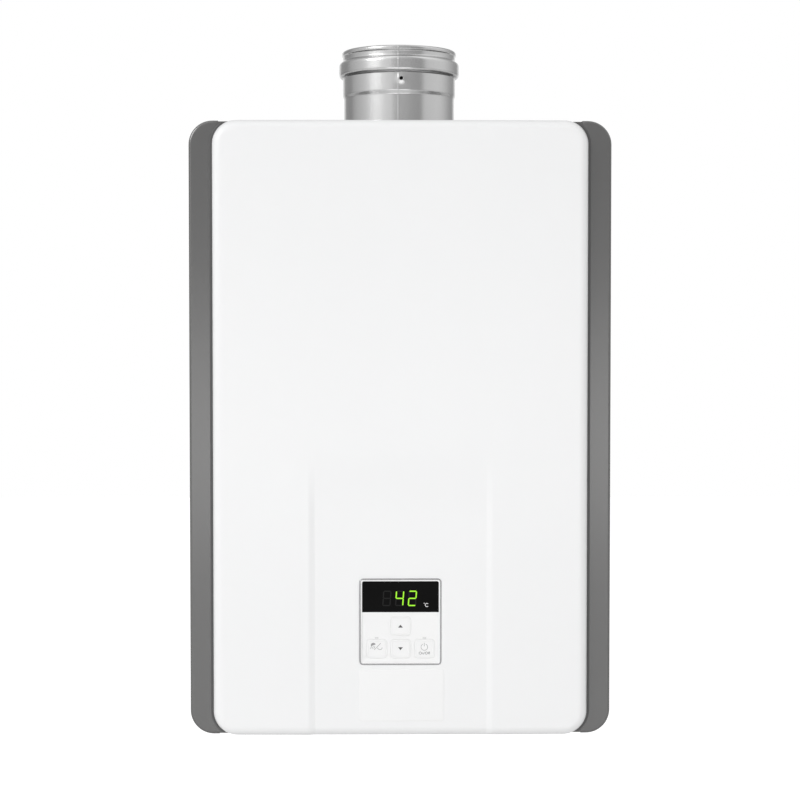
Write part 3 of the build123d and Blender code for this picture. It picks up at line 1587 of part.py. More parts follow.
# Controller: a shallow case with a rimmed face, a display window and four buttons on its own board
bezel_d = recess_floor_d + controller_proud
face_d = bezel_d - controller_rim_step
face_inner_d = bezel_d - controller_face
controller_board_d = controller_back_d + controller_board_gap
controller_board_front_d = controller_board_d + board_sheet
display_z = controller_z + display_rise
button_places = {
    "button_up": (0, button_high),
    "button_down": (0, button_low),
    "button_mode": (-button_column, button_low),
    "button_power": (button_column, button_low),
}
post_spacing = (controller_width - 2 * controller_post_inset, controller_height - 2 * controller_post_inset)
with BuildPart() as controller_case:
    with BuildSketch(upright(controller_back_d)):
        with Locations((0, controller_z)):
            RectangleRounded(controller_width, controller_height, controller_corner)
    extrude(amount=bezel_d - controller_back_d)
    fillet(controller_case.faces().sort_by(Axis.Y)[0].edges(), controller_rim_step)
    with BuildSketch(upright(controller_back_d)):
        with Locations((0, controller_z)):
            Rectangle(controller_width - 2 * controller_wall, controller_height - 2 * controller_wall)
    extrude(amount=face_inner_d - controller_back_d, mode=Mode.SUBTRACT)
    with BuildSketch(upright(bezel_d)):
        with Locations((0, controller_z)):
            RectangleRounded(
                controller_width - 2 * controller_rim,
                controller_height - 2 * controller_rim,
                controller_corner - controller_rim / 2,
            )
    extrude(amount=-controller_rim_step, mode=Mode.SUBTRACT)
    with BuildSketch(upright(face_d)):
        with Locations((0, display_z)):
            Rectangle(display_width + 2 * display_fit, display_height + 2 * display_fit)
    extrude(amount=-display_sheet, mode=Mode.SUBTRACT)
    with BuildSketch(upright(face_d)):
        with Locations((0, display_z)):
            Rectangle(display_width - 2 * display_ledge, display_height - 2 * display_ledge)
        with Locations(*[(x, controller_z + z) for x, z in button_places.values()]):
            RectangleRounded(button_width + 2 * button_fit, button_height + 2 * button_fit, button_corner)
        with Locations((0, controller_z + lamp_low)):
            with GridLocations(2 * button_column, 0, 2, 1):
                Rectangle(lamp_width, lamp_height)
    extrude(amount=-controller_face, mode=Mode.SUBTRACT)
    with BuildSketch(upright(controller_board_front_d)):
        with Locations((0, controller_z)):
            with GridLocations(*post_spacing, 2, 2):
                Circle(controller_post_r)
    extrude(amount=face_inner_d - controller_board_front_d)
save(controller_case, "controller_case")

with BuildPart() as display_window:
    with BuildSketch(upright(face_d)):
        with Locations((0, display_z)):
            Rectangle(display_width, display_height)
    extrude(amount=-display_sheet)
save(display_window, "display_window")

# Buttons: caps with a lip behind the face, each over a switch on the controller's board
button_back_d = face_inner_d - button_gap - button_lip_sheet
for button_name, (button_x, button_z) in button_places.items():
    with BuildPart() as button:
        with BuildSketch(upright(button_back_d)):
            with Locations((button_x, controller_z + button_z)):
                RectangleRounded(
                    button_width + 2 * button_lip,
                    button_height + 2 * button_lip,
                    button_corner,
                )
        extrude(amount=button_lip_sheet)
        with BuildSketch(upright(button_back_d)):
            with Locations((button_x, controller_z + button_z)):
                RectangleRounded(button_width, button_height, button_corner)
        extrude(amount=bezel_d - button_back_d)
        fillet(button.faces().sort_by(Axis.Y)[0].edges(), controller_rim_step)
    save(button, button_name)

switch_top_d = button_back_d - button_travel - button_gap
with BuildPart() as controller_board:
    with BuildSketch(upright(controller_board_d)):
        with Locations((0, controller_z)):
            Rectangle(
                controller_width - 2 * controller_wall - board_margin,
                controller_height - 2 * controller_wall - board_margin,
            )
    extrude(amount=board_sheet)
    with BuildSketch(upright(controller_board_front_d)):
        with Locations(*[(x, controller_z + z) for x, z in button_places.values()]):
            Rectangle(switch_size, switch_size)
    extrude(amount=switch_top_d - controller_board_front_d)
    with BuildSketch(upright(controller_board_front_d)):
        with Locations((0, display_z)):
            Rectangle(display_width - 2 * module_inset, display_height - 2 * module_inset)
    extrude(amount=face_d - display_sheet - button_gap - controller_board_front_d)
    with BuildSketch(upright(controller_board_front_d)):
        with Locations((0, controller_z + lamp_low)):
            with GridLocations(2 * button_column, 0, 2, 1):
                Rectangle(lamp_width - 2 * button_fit, lamp_height - 2 * button_fit)
    extrude(amount=face_d - controller_board_front_d)
save(controller_board, "controller_board")

# Wiring: a lead to the fan motor, one to the controller and one from the igniter to its electrode
tray_left_x = tray_x - tray_width / 2
loom_d = tray_back_d + tray_leg + 2 * loom_r
with BuildPart() as wiring_loom:
    fan_lead_x = tray_left_x + tray_wall + loom_bend
    fan_lead_z = deck_z + loom_rise
    motor_mid_d = fan_back_d - motor_flange - motor_length / 2
    fan_lead = [
        (fan_lead_x, -loom_d, tray_z),
        (fan_lead_x, -loom_d, fan_lead_z),
        (gas_x - inlet_flange / 2 - loom_bend, -loom_d, fan_lead_z),
        (fan_x, -motor_mid_d, fan_lead_z),
        (fan_x, -motor_mid_d, fan_z - motor_r),
    ]
    add(bent_tube(fan_lead, loom_bend, loom_r, 0))
    controller_lead = [
        (tray_left_x, -loom_d, controller_z),
        (plate_window / 3, -loom_d, controller_z),
        (plate_window / 3, -controller_board_d, controller_z),
    ]
    add(bent_tube(controller_lead, lead_bend, lead_r, 0))
    spark_d = stack_front_d + ceramic_front - lead_r
    spark_lead = [
        (igniter_x, -spark_d, igniter_z + igniter_height),
        (igniter_x, -spark_d, electrode_z + lead_rise),
        (electrode_xs[1], -spark_d, electrode_z + lead_rise),
        (electrode_xs[1], -spark_d, electrode_z + ceramic_r),
    ]
    add(bent_tube(spark_lead, lead_bend, lead_r, 0))
save(wiring_loom, "wiring_loom")
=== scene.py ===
import bmesh
import bpy
import json
import math
import numpy as np
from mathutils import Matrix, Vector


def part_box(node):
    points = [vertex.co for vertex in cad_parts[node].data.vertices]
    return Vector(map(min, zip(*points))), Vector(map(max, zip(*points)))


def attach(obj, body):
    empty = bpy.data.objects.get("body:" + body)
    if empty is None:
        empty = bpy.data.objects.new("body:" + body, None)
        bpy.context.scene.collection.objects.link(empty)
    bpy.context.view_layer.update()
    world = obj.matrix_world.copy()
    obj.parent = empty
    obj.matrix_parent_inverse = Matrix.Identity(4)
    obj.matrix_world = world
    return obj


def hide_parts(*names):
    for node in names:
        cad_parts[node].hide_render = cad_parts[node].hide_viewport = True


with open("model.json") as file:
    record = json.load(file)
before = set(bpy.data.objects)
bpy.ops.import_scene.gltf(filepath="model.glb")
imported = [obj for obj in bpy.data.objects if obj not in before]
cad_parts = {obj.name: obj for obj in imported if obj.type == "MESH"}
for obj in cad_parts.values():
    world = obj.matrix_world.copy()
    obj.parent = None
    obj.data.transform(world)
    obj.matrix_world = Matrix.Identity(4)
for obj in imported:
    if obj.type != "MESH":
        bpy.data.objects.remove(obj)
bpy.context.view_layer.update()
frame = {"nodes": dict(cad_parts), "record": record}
nodes = frame["nodes"]
record = frame["record"]
bodyOf = {node: body for body, names in record["behaviour"]["bodies"].items() for node in names}
slotOf = {part["node"]: part["material_slot"] for part in record["subparts"]}
mm = 0.001
print("frame loaded with", len(nodes), "nodes")


# shader nodes

def feed(tree, socket, value):
    # an output is linked into the socket, and any other value is set on it
    if isinstance(value, bpy.types.NodeSocket):
        tree.links.new(value, socket)
    else:
        socket.default_value = value


def addNode(tree, kind, inputs, **settings):
    # a node with its settings, whose inputs are fed by name or number
    node = tree.nodes.new("ShaderNode" + kind)
    for label, value in settings.items():
        setattr(node, label, value)
    for label, value in inputs.items():
        feed(tree, node.inputs[label], value)
    return node


def addMath(tree, operation, *values):
    return addNode(tree, "Math", dict(enumerate(values)), operation=operation).outputs[0]


def mixColours(tree, mask, first, second):
    return addNode(tree, "Mix", {0: mask, 6: first, 7: second}, data_type="RGBA").outputs[2]


def colour(value):
    # a grey from one number, or a colour from three
    return (*np.broadcast_to(value, 3).tolist(), 1.0)


# shader groups that the finishes share

def startGroup(name, inputs, outputs):
    # an empty group with named sockets, each input as (name, kind, first value)
    group = bpy.data.node_groups.new(name, "ShaderNodeTree")
    for label, kind, value in inputs:
        socket = group.interface.new_socket(label, in_out="INPUT", socket_type="NodeSocket" + kind)
        if value is not None:
            socket.default_value = value
    for label, kind in outputs:
        group.interface.new_socket(label, in_out="OUTPUT", socket_type="NodeSocket" + kind)
    return group, group.nodes.new("NodeGroupInput").outputs, group.nodes.new("NodeGroupOutput").inputs


finishSockets = [
    ("Vector", "Vector", None),
    ("Dark", "Color", colour(0.4)),
    ("Light", "Color", colour(0.6)),
    ("Rough Low", "Float", 0.3),
    ("Rough High", "Float", 0.5),
]
finishResults = [("Color", "Color"), ("Roughness", "Float"), ("Height", "Float")]


def endGroup(group, given, result, mask, height):
    # one mask mixes the two colours and moves the roughness between its limits
    limits = {"Value": mask, "To Min": given["Rough Low"], "To Max": given["Rough High"]}
    feed(group, result["Color"], mixColours(group, mask, given["Dark"], given["Light"]))
    feed(group, result["Roughness"], addNode(group, "MapRange", limits).outputs["Result"])
    feed(group, result["Height"], height)
    return group


def makeDrift():
    # slow cloudy drift in colour and gloss, with a fine grain or orange peel as height
    extra = [("Drift Scale", "Float", 5.0), ("Grain Scale", "Float", 600.0)]
    group, given, result = startGroup("surfaceDrift", finishSockets + extra, finishResults)
    drift = {"Vector": given["Vector"], "Scale": given["Drift Scale"], "Detail": 3.0}
    grain = {"Vector": given["Vector"], "Scale": given["Grain Scale"], "Detail": 2.0}
    noises = [addNode(group, "TexNoise", inputs).outputs["Fac"] for inputs in (drift, grain)]
    return endGroup(group, given, result, *noises)


def makeBrush():
    # long fine lines: noise on a vector that is stretched along the brushing
    extra = [("Stretch", "Vector", (1.0, 1.0, 1.0)), ("Line Scale", "Float", 40.0)]
    group, given, result = startGroup("brushLines", finishSockets + extra, finishResults)
    stretched = addNode(group, "VectorMath", {0: given["Vector"], 1: given["Stretch"]}, operation="MULTIPLY")
    lines = addNode(group, "TexNoise", {
        "Vector": stretched.outputs[0], "Scale": given["Line Scale"], "Detail": 5.0, "Roughness": 0.7,
    }).outputs["Fac"]
    return endGroup(group, given, result, lines, lines)


def makeSpangle():
    # zinc crystals: each cell of a cellular pattern has its own brightness
    extra = [("Cell Scale", "Float", 90.0)]
    group, given, result = startGroup("zincSpangle", finishSockets + extra, finishResults)
    cells = addNode(group, "TexVoronoi", {"Vector": given["Vector"], "Scale": given["Cell Scale"]}).outputs
    brightness = addNode(group, "SeparateColor", {"Color": cells["Color"]}).outputs["Red"]
    return endGroup(group, given, result, brightness, cells["Distance"])


def makeHeat():
    # heat tint that fades in below a height, with an uneven edge
    look = {"waverScale": 14.0, "waver": 0.06}
    inputs = [("Vector", "Vector", None), ("From Z", "Float", 0.0), ("To Z", "Float", 0.1)]
    group, given, result = startGroup("heatTint", inputs, [("Mask", "Float")])
    place = addNode(group, "SeparateXYZ", {0: given["Vector"]}).outputs
    waver = addNode(group, "TexNoise", {"Vector": given["Vector"], "Scale": look["waverScale"]})
    fade = addNode(group, "MapRange", {
        "Value": addMath(group, "MULTIPLY_ADD", waver.outputs["Fac"], look["waver"], place["Z"]),
        "From Min": given["From Z"], "From Max": given["To Z"], "To Min": 1.0, "To Max": 0.0,
    })
    feed(group, result["Mask"], fade.outputs["Result"])
    return group


def makeTracks():
    # copper tracks under solder resist: the joints of a brick pattern
    inputs = [("Vector", "Vector", None), ("Track Scale", "Float", 60.0)]
    group, given, result = startGroup("boardTracks", inputs, [("Mask", "Float")])
    turned = addNode(group, "Mapping", {"Vector": given["Vector"], "Rotation": (math.radians(90), 0, 0)})
    bricks = addNode(group, "TexBrick", {
        "Vector": turned.outputs[0], "Scale": given["Track Scale"], "Mortar Size": 0.06, "Brick Width": 0.9,
    })
    feed(group, result["Mask"], bricks.outputs["Fac"])
    return group


madeGroups = [makeDrift(), makeBrush(), makeSpangle(), makeHeat(), makeTracks()]
groups = {group.name: group for group in madeGroups}
print("shader groups:", ", ".join(groups))


# finishes: the two colours and roughnesses that the group mixes, its scales, and the bump's depth in mm

metalLook = {"shader": {"Metallic": 1.0}}
inkLook = {"rough": (0.5, 0.6), "scales": (300.0, 3000.0), "bump": 0.01}
litLook = {"rough": (0.4, 0.5), "scales": (220.0, 2500.0), "bump": 0.01, "shader": {"Emission Strength": 1.0}}
finishLooks = {
    "coverPaint": {
        "colours": ((0.83, 0.832, 0.835), (0.86, 0.862, 0.865)), "rough": (0.22, 0.3),
        "scales": (3.0, 420.0), "bump": 0.02, "shader": {"Specular IOR Level": 0.3},
    },
    "sidePaint": {
        "colours": ((0.162, 0.161, 0.16), (0.177, 0.176, 0.175)), "rough": (0.2, 0.24),
        "scales": (5.0, 1500.0), "bump": 0.01, "shader": {"Metallic": 0.65},
    },
    "collarSteel": {
        "group": "brushLines", "colours": (0.55, 0.63), "rough": (0.17, 0.26),
        "scales": ((90.0, 90.0, 24.0), 8.0), "bump": 0.01, **metalLook,
    },
    # near black: painted shade for the dark inside of the collar's screw hole
    "paintedHoleShade": {
        "colours": (0.002, 0.004), "rough": (0.8, 0.9),
        "scales": (60.0, 1500.0), "bump": 0.04, "shader": {"Specular IOR Level": 0.05},
    },
    "zincSheet": {
        "group": "zincSpangle", "colours": ((0.52, 0.54, 0.56), (0.64, 0.66, 0.68)), "rough": (0.34, 0.5),
        "scales": (110.0,), "bump": 0.03, **metalLook,
    },
    "ductSteel": {
        "group": "brushLines", "colours": ((0.48, 0.475, 0.465), (0.64, 0.632, 0.62)), "rough": (0.24, 0.42),
        "scales": ((10.0, 160.0, 160.0), 5.0), "bump": 0.05, **metalLook,
    },
    "copperSheet": {
        "colours": ((0.5, 0.22, 0.12), (0.8, 0.4, 0.25)), "rough": (0.2, 0.42),
        "scales": (9.0, 500.0), "bump": 0.04, **metalLook,
    },
    "forgedBrass": {
        "colours": ((0.62, 0.42, 0.17), (0.8, 0.6, 0.3)), "rough": (0.28, 0.48),
        "scales": (24.0, 900.0), "bump": 0.08, **metalLook,
    },
    "castAluminium": {
        "colours": ((0.56, 0.57, 0.58), (0.7, 0.71, 0.72)), "rough": (0.45, 0.6),
        "scales": (16.0, 1100.0), "bump": 0.12, **metalLook,
    },
    "blackMoulding": {
        "colours": (0.02, (0.034, 0.034, 0.037)), "rough": (0.45, 0.6),
        "scales": (12.0, 1600.0), "bump": 0.08,
    },
    "whiteMoulding": {
        "colours": (0.84, 0.87), "rough": (0.32, 0.42), "scales": (10.0, 2200.0), "bump": 0.02,
    },
    "greyMoulding": {
        "colours": ((0.42, 0.43, 0.44), (0.5, 0.51, 0.52)), "rough": (0.4, 0.55),
        "scales": (14.0, 1500.0), "bump": 0.06,
    },
    "smokedPane": {
        "colours": (0.0025, 0.0035), "rough": (0.1, 0.16),
        "scales": (30.0, 1800.0), "bump": 0.01, "shader": {"Specular IOR Level": 0.07},
    },
    "boardResist": {
        "colours": ((0.012, 0.11, 0.04), (0.02, 0.15, 0.055)), "rough": (0.3, 0.42),
        "scales": (20.0, 1400.0), "bump": 0.04,
    },
    "blackRubber": {"colours": (0.014, 0.026), "rough": (0.7, 0.85), "scales": (30.0, 1300.0), "bump": 0.12},
    # dark grey lip beside the cover: partly the seal's rubber, partly painted shade for the gap's shadow
    "sealShadeRubber": {"colours": (0.07, 0.09), "rough": (0.5, 0.6), "scales": (30.0, 1300.0), "bump": 0.04},
    "whiteCeramic": {
        "colours": ((0.78, 0.76, 0.71), (0.88, 0.87, 0.84)), "rough": (0.2, 0.34),
        "scales": (60.0, 1800.0), "bump": 0.03,
    },
    "relayBlue": {
        "colours": ((0.02, 0.1, 0.3), (0.03, 0.14, 0.38)), "rough": (0.3, 0.45),
        "scales": (40.0, 1500.0), "bump": 0.04,
    },
    "tapeYellow": {
        "group": "brushLines", "colours": ((0.55, 0.36, 0.06), (0.72, 0.5, 0.1)), "rough": (0.35, 0.5),
        "scales": ((8.0, 8.0, 120.0), 6.0), "bump": 0.1,
    },
    "bezelMetal": {
        "group": "brushLines", "colours": ((0.34, 0.34, 0.345), (0.58, 0.58, 0.59)), "rough": (0.18, 0.3),
        "scales": ((60.0, 60.0, 60.0), 4.0), "bump": 0.02, **metalLook,
    },
    "keyInk": {"colours": (0.075, 0.11), **inkLook},
    "faintInk": {"colours": (0.28, 0.34), **inkLook},
    "lampLens": {"colours": (0.66, 0.72), "rough": (0.2, 0.3), "scales": (400.0, 2500.0), "bump": 0.01},
    "ghostSegment": {
        "colours": (0.0035, 0.005), "rough": (0.3, 0.4),
        "scales": (200.0, 2500.0), "bump": 0.01, "shader": {"Specular IOR Level": 0.2},
    },
    "digitGlow": {"colours": ((0.34, 0.93, 0.004), (0.42, 1.0, 0.01)), **litLook},
    "signGlow": {"colours": (0.72, 0.86), **litLook},
}


def placeGroup(tree, name, inputs):
    # a shared group in a material, on Object coordinates and with the material's own values
    place = addNode(tree, "TexCoord", {}).outputs["Object"]
    return addNode(tree, "Group", {"Vector": place, **inputs}, node_tree=groups[name]).outputs


def finish(name, look):
    # one Principled shader whose colour, roughness and bump come from a shared group
    material = bpy.data.materials.new(name)
    material.use_nodes = True
    tree = material.node_tree
    # the group's inputs after its vector, in their order
    values = [*map(colour, look["colours"]), *look["rough"], *look["scales"]]
    effect = placeGroup(tree, look.get("group", "surfaceDrift"), dict(enumerate(values, 1)))
    bump = addNode(tree, "Bump", {"Distance": look["bump"] * mm, "Height": effect["Height"]})
    given = {"Base Color": effect["Color"], "Roughness": effect["Roughness"], "Normal": bump.outputs[0]}
    for label, value in {**given, **look.get("shader", {})}.items():
        feed(tree, tree.nodes["Principled BSDF"].inputs[label], value)
    return material


def overlay(material, groupName, inputs, tint):
    # a second effect over a finish: the group's mask mixes its tint into the base colour
    tree = material.node_tree
    sockets = tree.nodes["Principled BSDF"].inputs
    mask = placeGroup(tree, groupName, inputs)["Mask"]
    under = sockets["Base Color"].links[0].from_socket
    feed(tree, sockets["Base Color"], mixColours(tree, mask, under, colour(tint)))


def glow(material, base):
    # lit ink of the display: the colour, which varies a little along each bar, becomes the emission
    tree = material.node_tree
    sockets = tree.nodes["Principled BSDF"].inputs
    feed(tree, sockets["Emission Color"], sockets["Base Color"].links[0].from_socket)
    tree.links.remove(sockets["Base Color"].links[0])
    feed(tree, sockets["Base Color"], colour(base))


paint = {name: finish(name, look) for name, look in finishLooks.items()}
overlay(paint["copperSheet"], "heatTint", {"From Z": -0.06, "To Z": 0.1}, (0.27, 0.12, 0.09))
overlay(paint["boardResist"], "boardTracks", {"Track Scale": 70.0}, (0.05, 0.26, 0.1))
glow(paint["digitGlow"], 0.01)
glow(paint["signGlow"], 0.01)

slotFinish = {
    "white_paint": "coverPaint", "grey_paint": "sidePaint", "zinc_sheet": "zincSheet",
    "stainless": "ductSteel", "copper": "copperSheet", "brass": "forgedBrass", "aluminium": "castAluminium",
    "black_plastic": "blackMoulding", "white_plastic": "whiteMoulding", "smoked_window": "smokedPane",
    "circuit_board": "boardResist", "rubber": "blackRubber", "ceramic": "whiteCeramic",
}
print("finishes:", len(paint))


# mesh makers

def placeObject(name, data):
    placed = bpy.data.objects.new(name, data)
    bpy.context.scene.collection.objects.link(placed)
    return placed


def coat(mesh, finishName):
    # smooth faces in one finish
    mesh.polygons.foreach_set("use_smooth", np.ones(len(mesh.polygons), dtype=bool))
    mesh.materials.clear()
    mesh.materials.append(paint[finishName])


def readRows(items, label):
    # one row of three numbers for each vertex or polygon
    values = np.zeros(len(items) * 3, np.float32)
    items.foreach_get(label, values)
    return values.reshape(-1, 3)


def addPiece(name, verts, faces, finishName, body):
    # puts whole arrays of points and polygons into a new piece that rides on a body
    mesh = bpy.data.meshes.new(name)
    mesh.from_pydata(verts.tolist(), [], [list(map(int, face)) for face in faces])
    mesh.validate()
    coat(mesh, finishName)
    piece = placeObject(name, mesh)
    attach(piece, body)
    return piece


def smoothEdges(piece, degrees):
    # edges sharper than the angle stay crisp, and the large faces keep their own normals
    piece.data.set_sharp_from_angle(angle=math.radians(degrees))
    weighted = piece.modifiers.new("faceNormals", "WEIGHTED_NORMAL")
    weighted.keep_sharp = True
    weighted.weight = 100


def mergePoints(piece, distance):
    shape = bmesh.new()
    shape.from_mesh(piece.data)
    bmesh.ops.remove_doubles(shape, verts=shape.verts, dist=distance)
    bmesh.ops.dissolve_degenerate(shape, edges=shape.edges, dist=distance)
    shape.to_mesh(piece.data)
    shape.free()


def thicken(piece, sheet):
    # a wall of one sheet's thickness behind a skin
    mergePoints(piece, 0.01 * mm)
    wall = piece.modifiers.new("sheet", "SOLIDIFY")
    wall.thickness = sheet
    wall.offset = -1
    smoothEdges(piece, 40)


def gridFaces(rows, columns, wrapRows=False, wrapColumns=False, start=0):
    # quads of a grid of points that is stored row by row
    row = np.arange(rows if wrapRows else rows - 1)
    column = np.arange(columns if wrapColumns else columns - 1)
    row, column = np.meshgrid(row, column, indexing="ij")
    rowNext = (row + 1) % rows
    columnNext = (column + 1) % columns
    corners = [row * columns + column, row * columns + columnNext]
    corners += [rowNext * columns + columnNext, rowNext * columns + column]
    return np.stack(corners, axis=-1).reshape(-1, 4) + start


def prismFaces(size, start=0):
    # the sides and the two ends of an outline that is stored twice
    sides = gridFaces(2, size, wrapColumns=True, start=start)
    return [*sides, np.arange(size) + size + start, np.arange(size)[::-1] + start]


def roundedLoop(halfWidth, halfHeight, corner, alongX, alongZ, arcSteps):
    # a rounded rectangle, anticlockwise from the lower left, as points and outward directions:
    # the straight sides take the given places and each corner a quarter circle
    turn = np.linspace(0, math.pi / 2, arcSteps + 2)[1:-1]
    flatX, flatZ = halfWidth - corner, halfHeight - corner
    one = np.ones_like
    sides = [
        (alongX, -flatZ * one(alongX), 0 * alongX, -one(alongX)),
        (flatX * one(turn), -flatZ * one(turn), np.sin(turn), -np.cos(turn)),
        (flatX * one(alongZ), alongZ, one(alongZ), 0 * alongZ),
        (flatX * one(turn), flatZ * one(turn), np.cos(turn), np.sin(turn)),
        (alongX[::-1], flatZ * one(alongX), 0 * alongX, one(alongX)),
        (-flatX * one(turn), flatZ * one(turn), -np.sin(turn), np.cos(turn)),
        (-flatX * one(alongZ), alongZ[::-1], -one(alongZ), 0 * alongZ),
        (-flatX * one(turn), -flatZ * one(turn), -np.cos(turn), -np.sin(turn)),
    ]
    base = np.concatenate([np.stack(side[:2], axis=1) for side in sides])
    away = np.concatenate([np.stack(side[2:], axis=1) for side in sides])
    return base, away


def framedPlate(name, spec, finishName, body, filled=True):
    # a thin rounded plate facing the front: rings of one outline, each with its own inset and rise in mm,
    # closed by one face in the middle, or an open frame whose last ring meets the first
    corner, halfWidth, halfHeight = spec["corner"], spec["width"] / 2, spec["height"] / 2
    ends = np.array([-1.0, 1.0])
    alongX, alongZ = ends * (halfWidth - corner), ends * (halfHeight - corner)
    base, away = roundedLoop(halfWidth, halfHeight, corner, alongX, alongZ, arcSteps=7)
    inset, rise = np.array(spec["rings"]).T * mm
    flat = (base[None] + away[None] * (corner - inset)[:, None, None]).reshape(-1, 2)
    depth = np.repeat(spec["y"] - rise, len(base))
    verts = np.stack([flat[:, 0] + spec["x"], depth, flat[:, 1] + spec["z"]], axis=1)
    faces = list(gridFaces(len(inset), len(base), wrapColumns=True))
    if filled:
        faces.append(np.arange(len(base)) + len(verts) - len(base))
    plate = addPiece(name, verts, faces, finishName, body)
    if not filled:
        mergePoints(plate, 0.001 * mm)


def inkPlate(name, fills, bands, seat, thickness, finishName, body):
    # flat prints facing the front, drawn in mm about their seat: a fill is an outline (x, z) made one
    # thickness deep, a band the strip between two lines, as a tube of four-sided section
    seatX, back, seatZ = seat
    front = back - thickness
    verts, faces, count = [], [], 0

    def laid(line, y):
        return np.column_stack([line[:, 0] * mm + seatX, np.full(len(line), y), line[:, 1] * mm + seatZ])

    for outline in fills:
        verts += [laid(outline, back), laid(outline, front)]
        faces += prismFaces(len(outline), count)
        count += 2 * len(outline)
    for outside, inside, closed in bands:
        size = len(outside)
        verts += [laid(outside, back), laid(outside, front), laid(inside, front), laid(inside, back)]
        faces += list(gridFaces(4, size, wrapRows=True, wrapColumns=closed, start=count))
        if not closed:
            ends = np.arange(4) * size + count
            faces += [ends, ends[::-1] + size - 1]
        count += 4 * size
    smoothEdges(addPiece(name, np.concatenate(verts), faces, finishName, body), 30)


def dressNode(name, finishName):
    # a merged copy of a CAD node with smooth curved faces, in the node's place
    piece = placeObject("dressed_" + name, nodes[name].data.copy())
    mergePoints(piece, 0.002 * mm)
    coat(piece.data, finishName)
    smoothEdges(piece, 28)
    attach(piece, bodyOf[name])
    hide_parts(name)
    return piece


# front cover: a crowned pan with a rounded edge and a recess that fades out upwards

coverLow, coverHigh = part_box("front_cover")
controllerLow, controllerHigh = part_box("controller_case")
controllerMid = (controllerLow + controllerHigh) / 2
coverLook = {
    "corner": 26 * mm,
    "edge": 10 * mm,
    "sheet": 1 * mm,
    "crown": 3 * mm,
    "rim": 13.5 * mm,
    "rimProfile": [(8, 0), (0.5, 0), (0.1, 0.3), (0, 1)],  # inset and rise in mm, from the lip outwards
    "recessHalf": 100 * mm,
    "recessSlope": 7 * mm,
    "recessDepth": 1.8 * mm,
    "recessFull": 239 * mm,
    "recessTop": 310 * mm,
    "slopeEase": 0.4,
    "fadePower": 0.7,
    "windowGap": 0.7 * mm,
    "windowCorner": 3.9 * mm,
    "windowMargin": 3 * mm,
    "tabWidth": 24 * mm,
    "tabSpacing": 240 * mm,
    "notch": 2.3 * mm,
    "notchInset": 12 * mm,
    "notchSteps": 13,
    "linesAcross": 49,
    "linesUp": 81,
    "slopeLines": np.linspace(-0.15, 1.15, 14),  # shares of the slope's width
    "fadeLines": 24,
    "cornerSteps": 14,
    "edgeSteps": 14,
    "borderSteps": 7,
    "windowSteps": 8,
    "slack": 0.1 * mm,
}


def smoothStep(value):
    clipped = np.clip(value, 0, 1)
    return clipped * clipped * (3 - 2 * clipped)


def coverFace(x, z):
    # y of the face: a parabola across for the crown, and the recess as the crown's distance to a flat floor
    # times a sloped side and a smooth fade, which a power below one makes start sooner
    look = coverLook
    half, full, top = look["recessHalf"], look["recessFull"], look["recessTop"]
    crown = coverLow.y + look["crown"] * (x / coverHigh.x) ** 2
    floor = coverLow.y + look["crown"] * (half / coverHigh.x) ** 2 + look["recessDepth"]
    side = np.clip((half - np.abs(x)) / look["recessSlope"], 0, 1)
    side = side + look["slopeEase"] * (smoothStep(side) - side)
    rise = z - coverLow.z
    fade = smoothStep((top - rise) / (top - full)) ** look["fadePower"]
    return crown + side * fade * (floor - crown)


def windowLines(lines, middle, keep, cut):
    # grid lines of one direction with none in the window's margin, and with one at each of its edges
    away = np.abs(lines - middle)
    edges = middle + np.array([-cut, -keep, keep, cut])
    return np.unique(np.round(np.concatenate([lines[(away < keep) | (away > cut)], edges]), 7))


def windowMargin(half, cut, besideX, besideZ):
    # the sheet between the square cut in the grid and the round-cornered window: quads along the sides,
    # and one face in each corner between the cut's corner and the window's quarter circle
    arc, corner = coverLook["windowSteps"], coverLook["windowCorner"]
    base, away = roundedLoop(*half, corner, besideX, besideZ, arc)
    flat = np.concatenate([np.clip(base + away, -cut, cut), base + away * corner])
    size = len(base)
    quads = gridFaces(2, size, wrapColumns=True)
    starts = np.cumsum([0] + [len(besideX), arc, len(besideZ), arc] * 2)
    inCorner = np.zeros(size, dtype=bool)
    faces = []
    for k in (1, 3, 5, 7):
        run = np.arange(starts[k] - 1, starts[k + 1] + 1) % size
        inCorner[run[:-1]] = True
        flat = np.concatenate([flat, [np.sign(base[run[1]]) * cut]])
        faces.append(np.concatenate([[run[0], len(flat) - 1, run[-1]], run[::-1] + size]))
    x, z = flat[:, 0], flat[:, 1] + controllerMid.z
    return np.column_stack([x, coverFace(x, z), z]), [*quads[~inCorner], *faces]


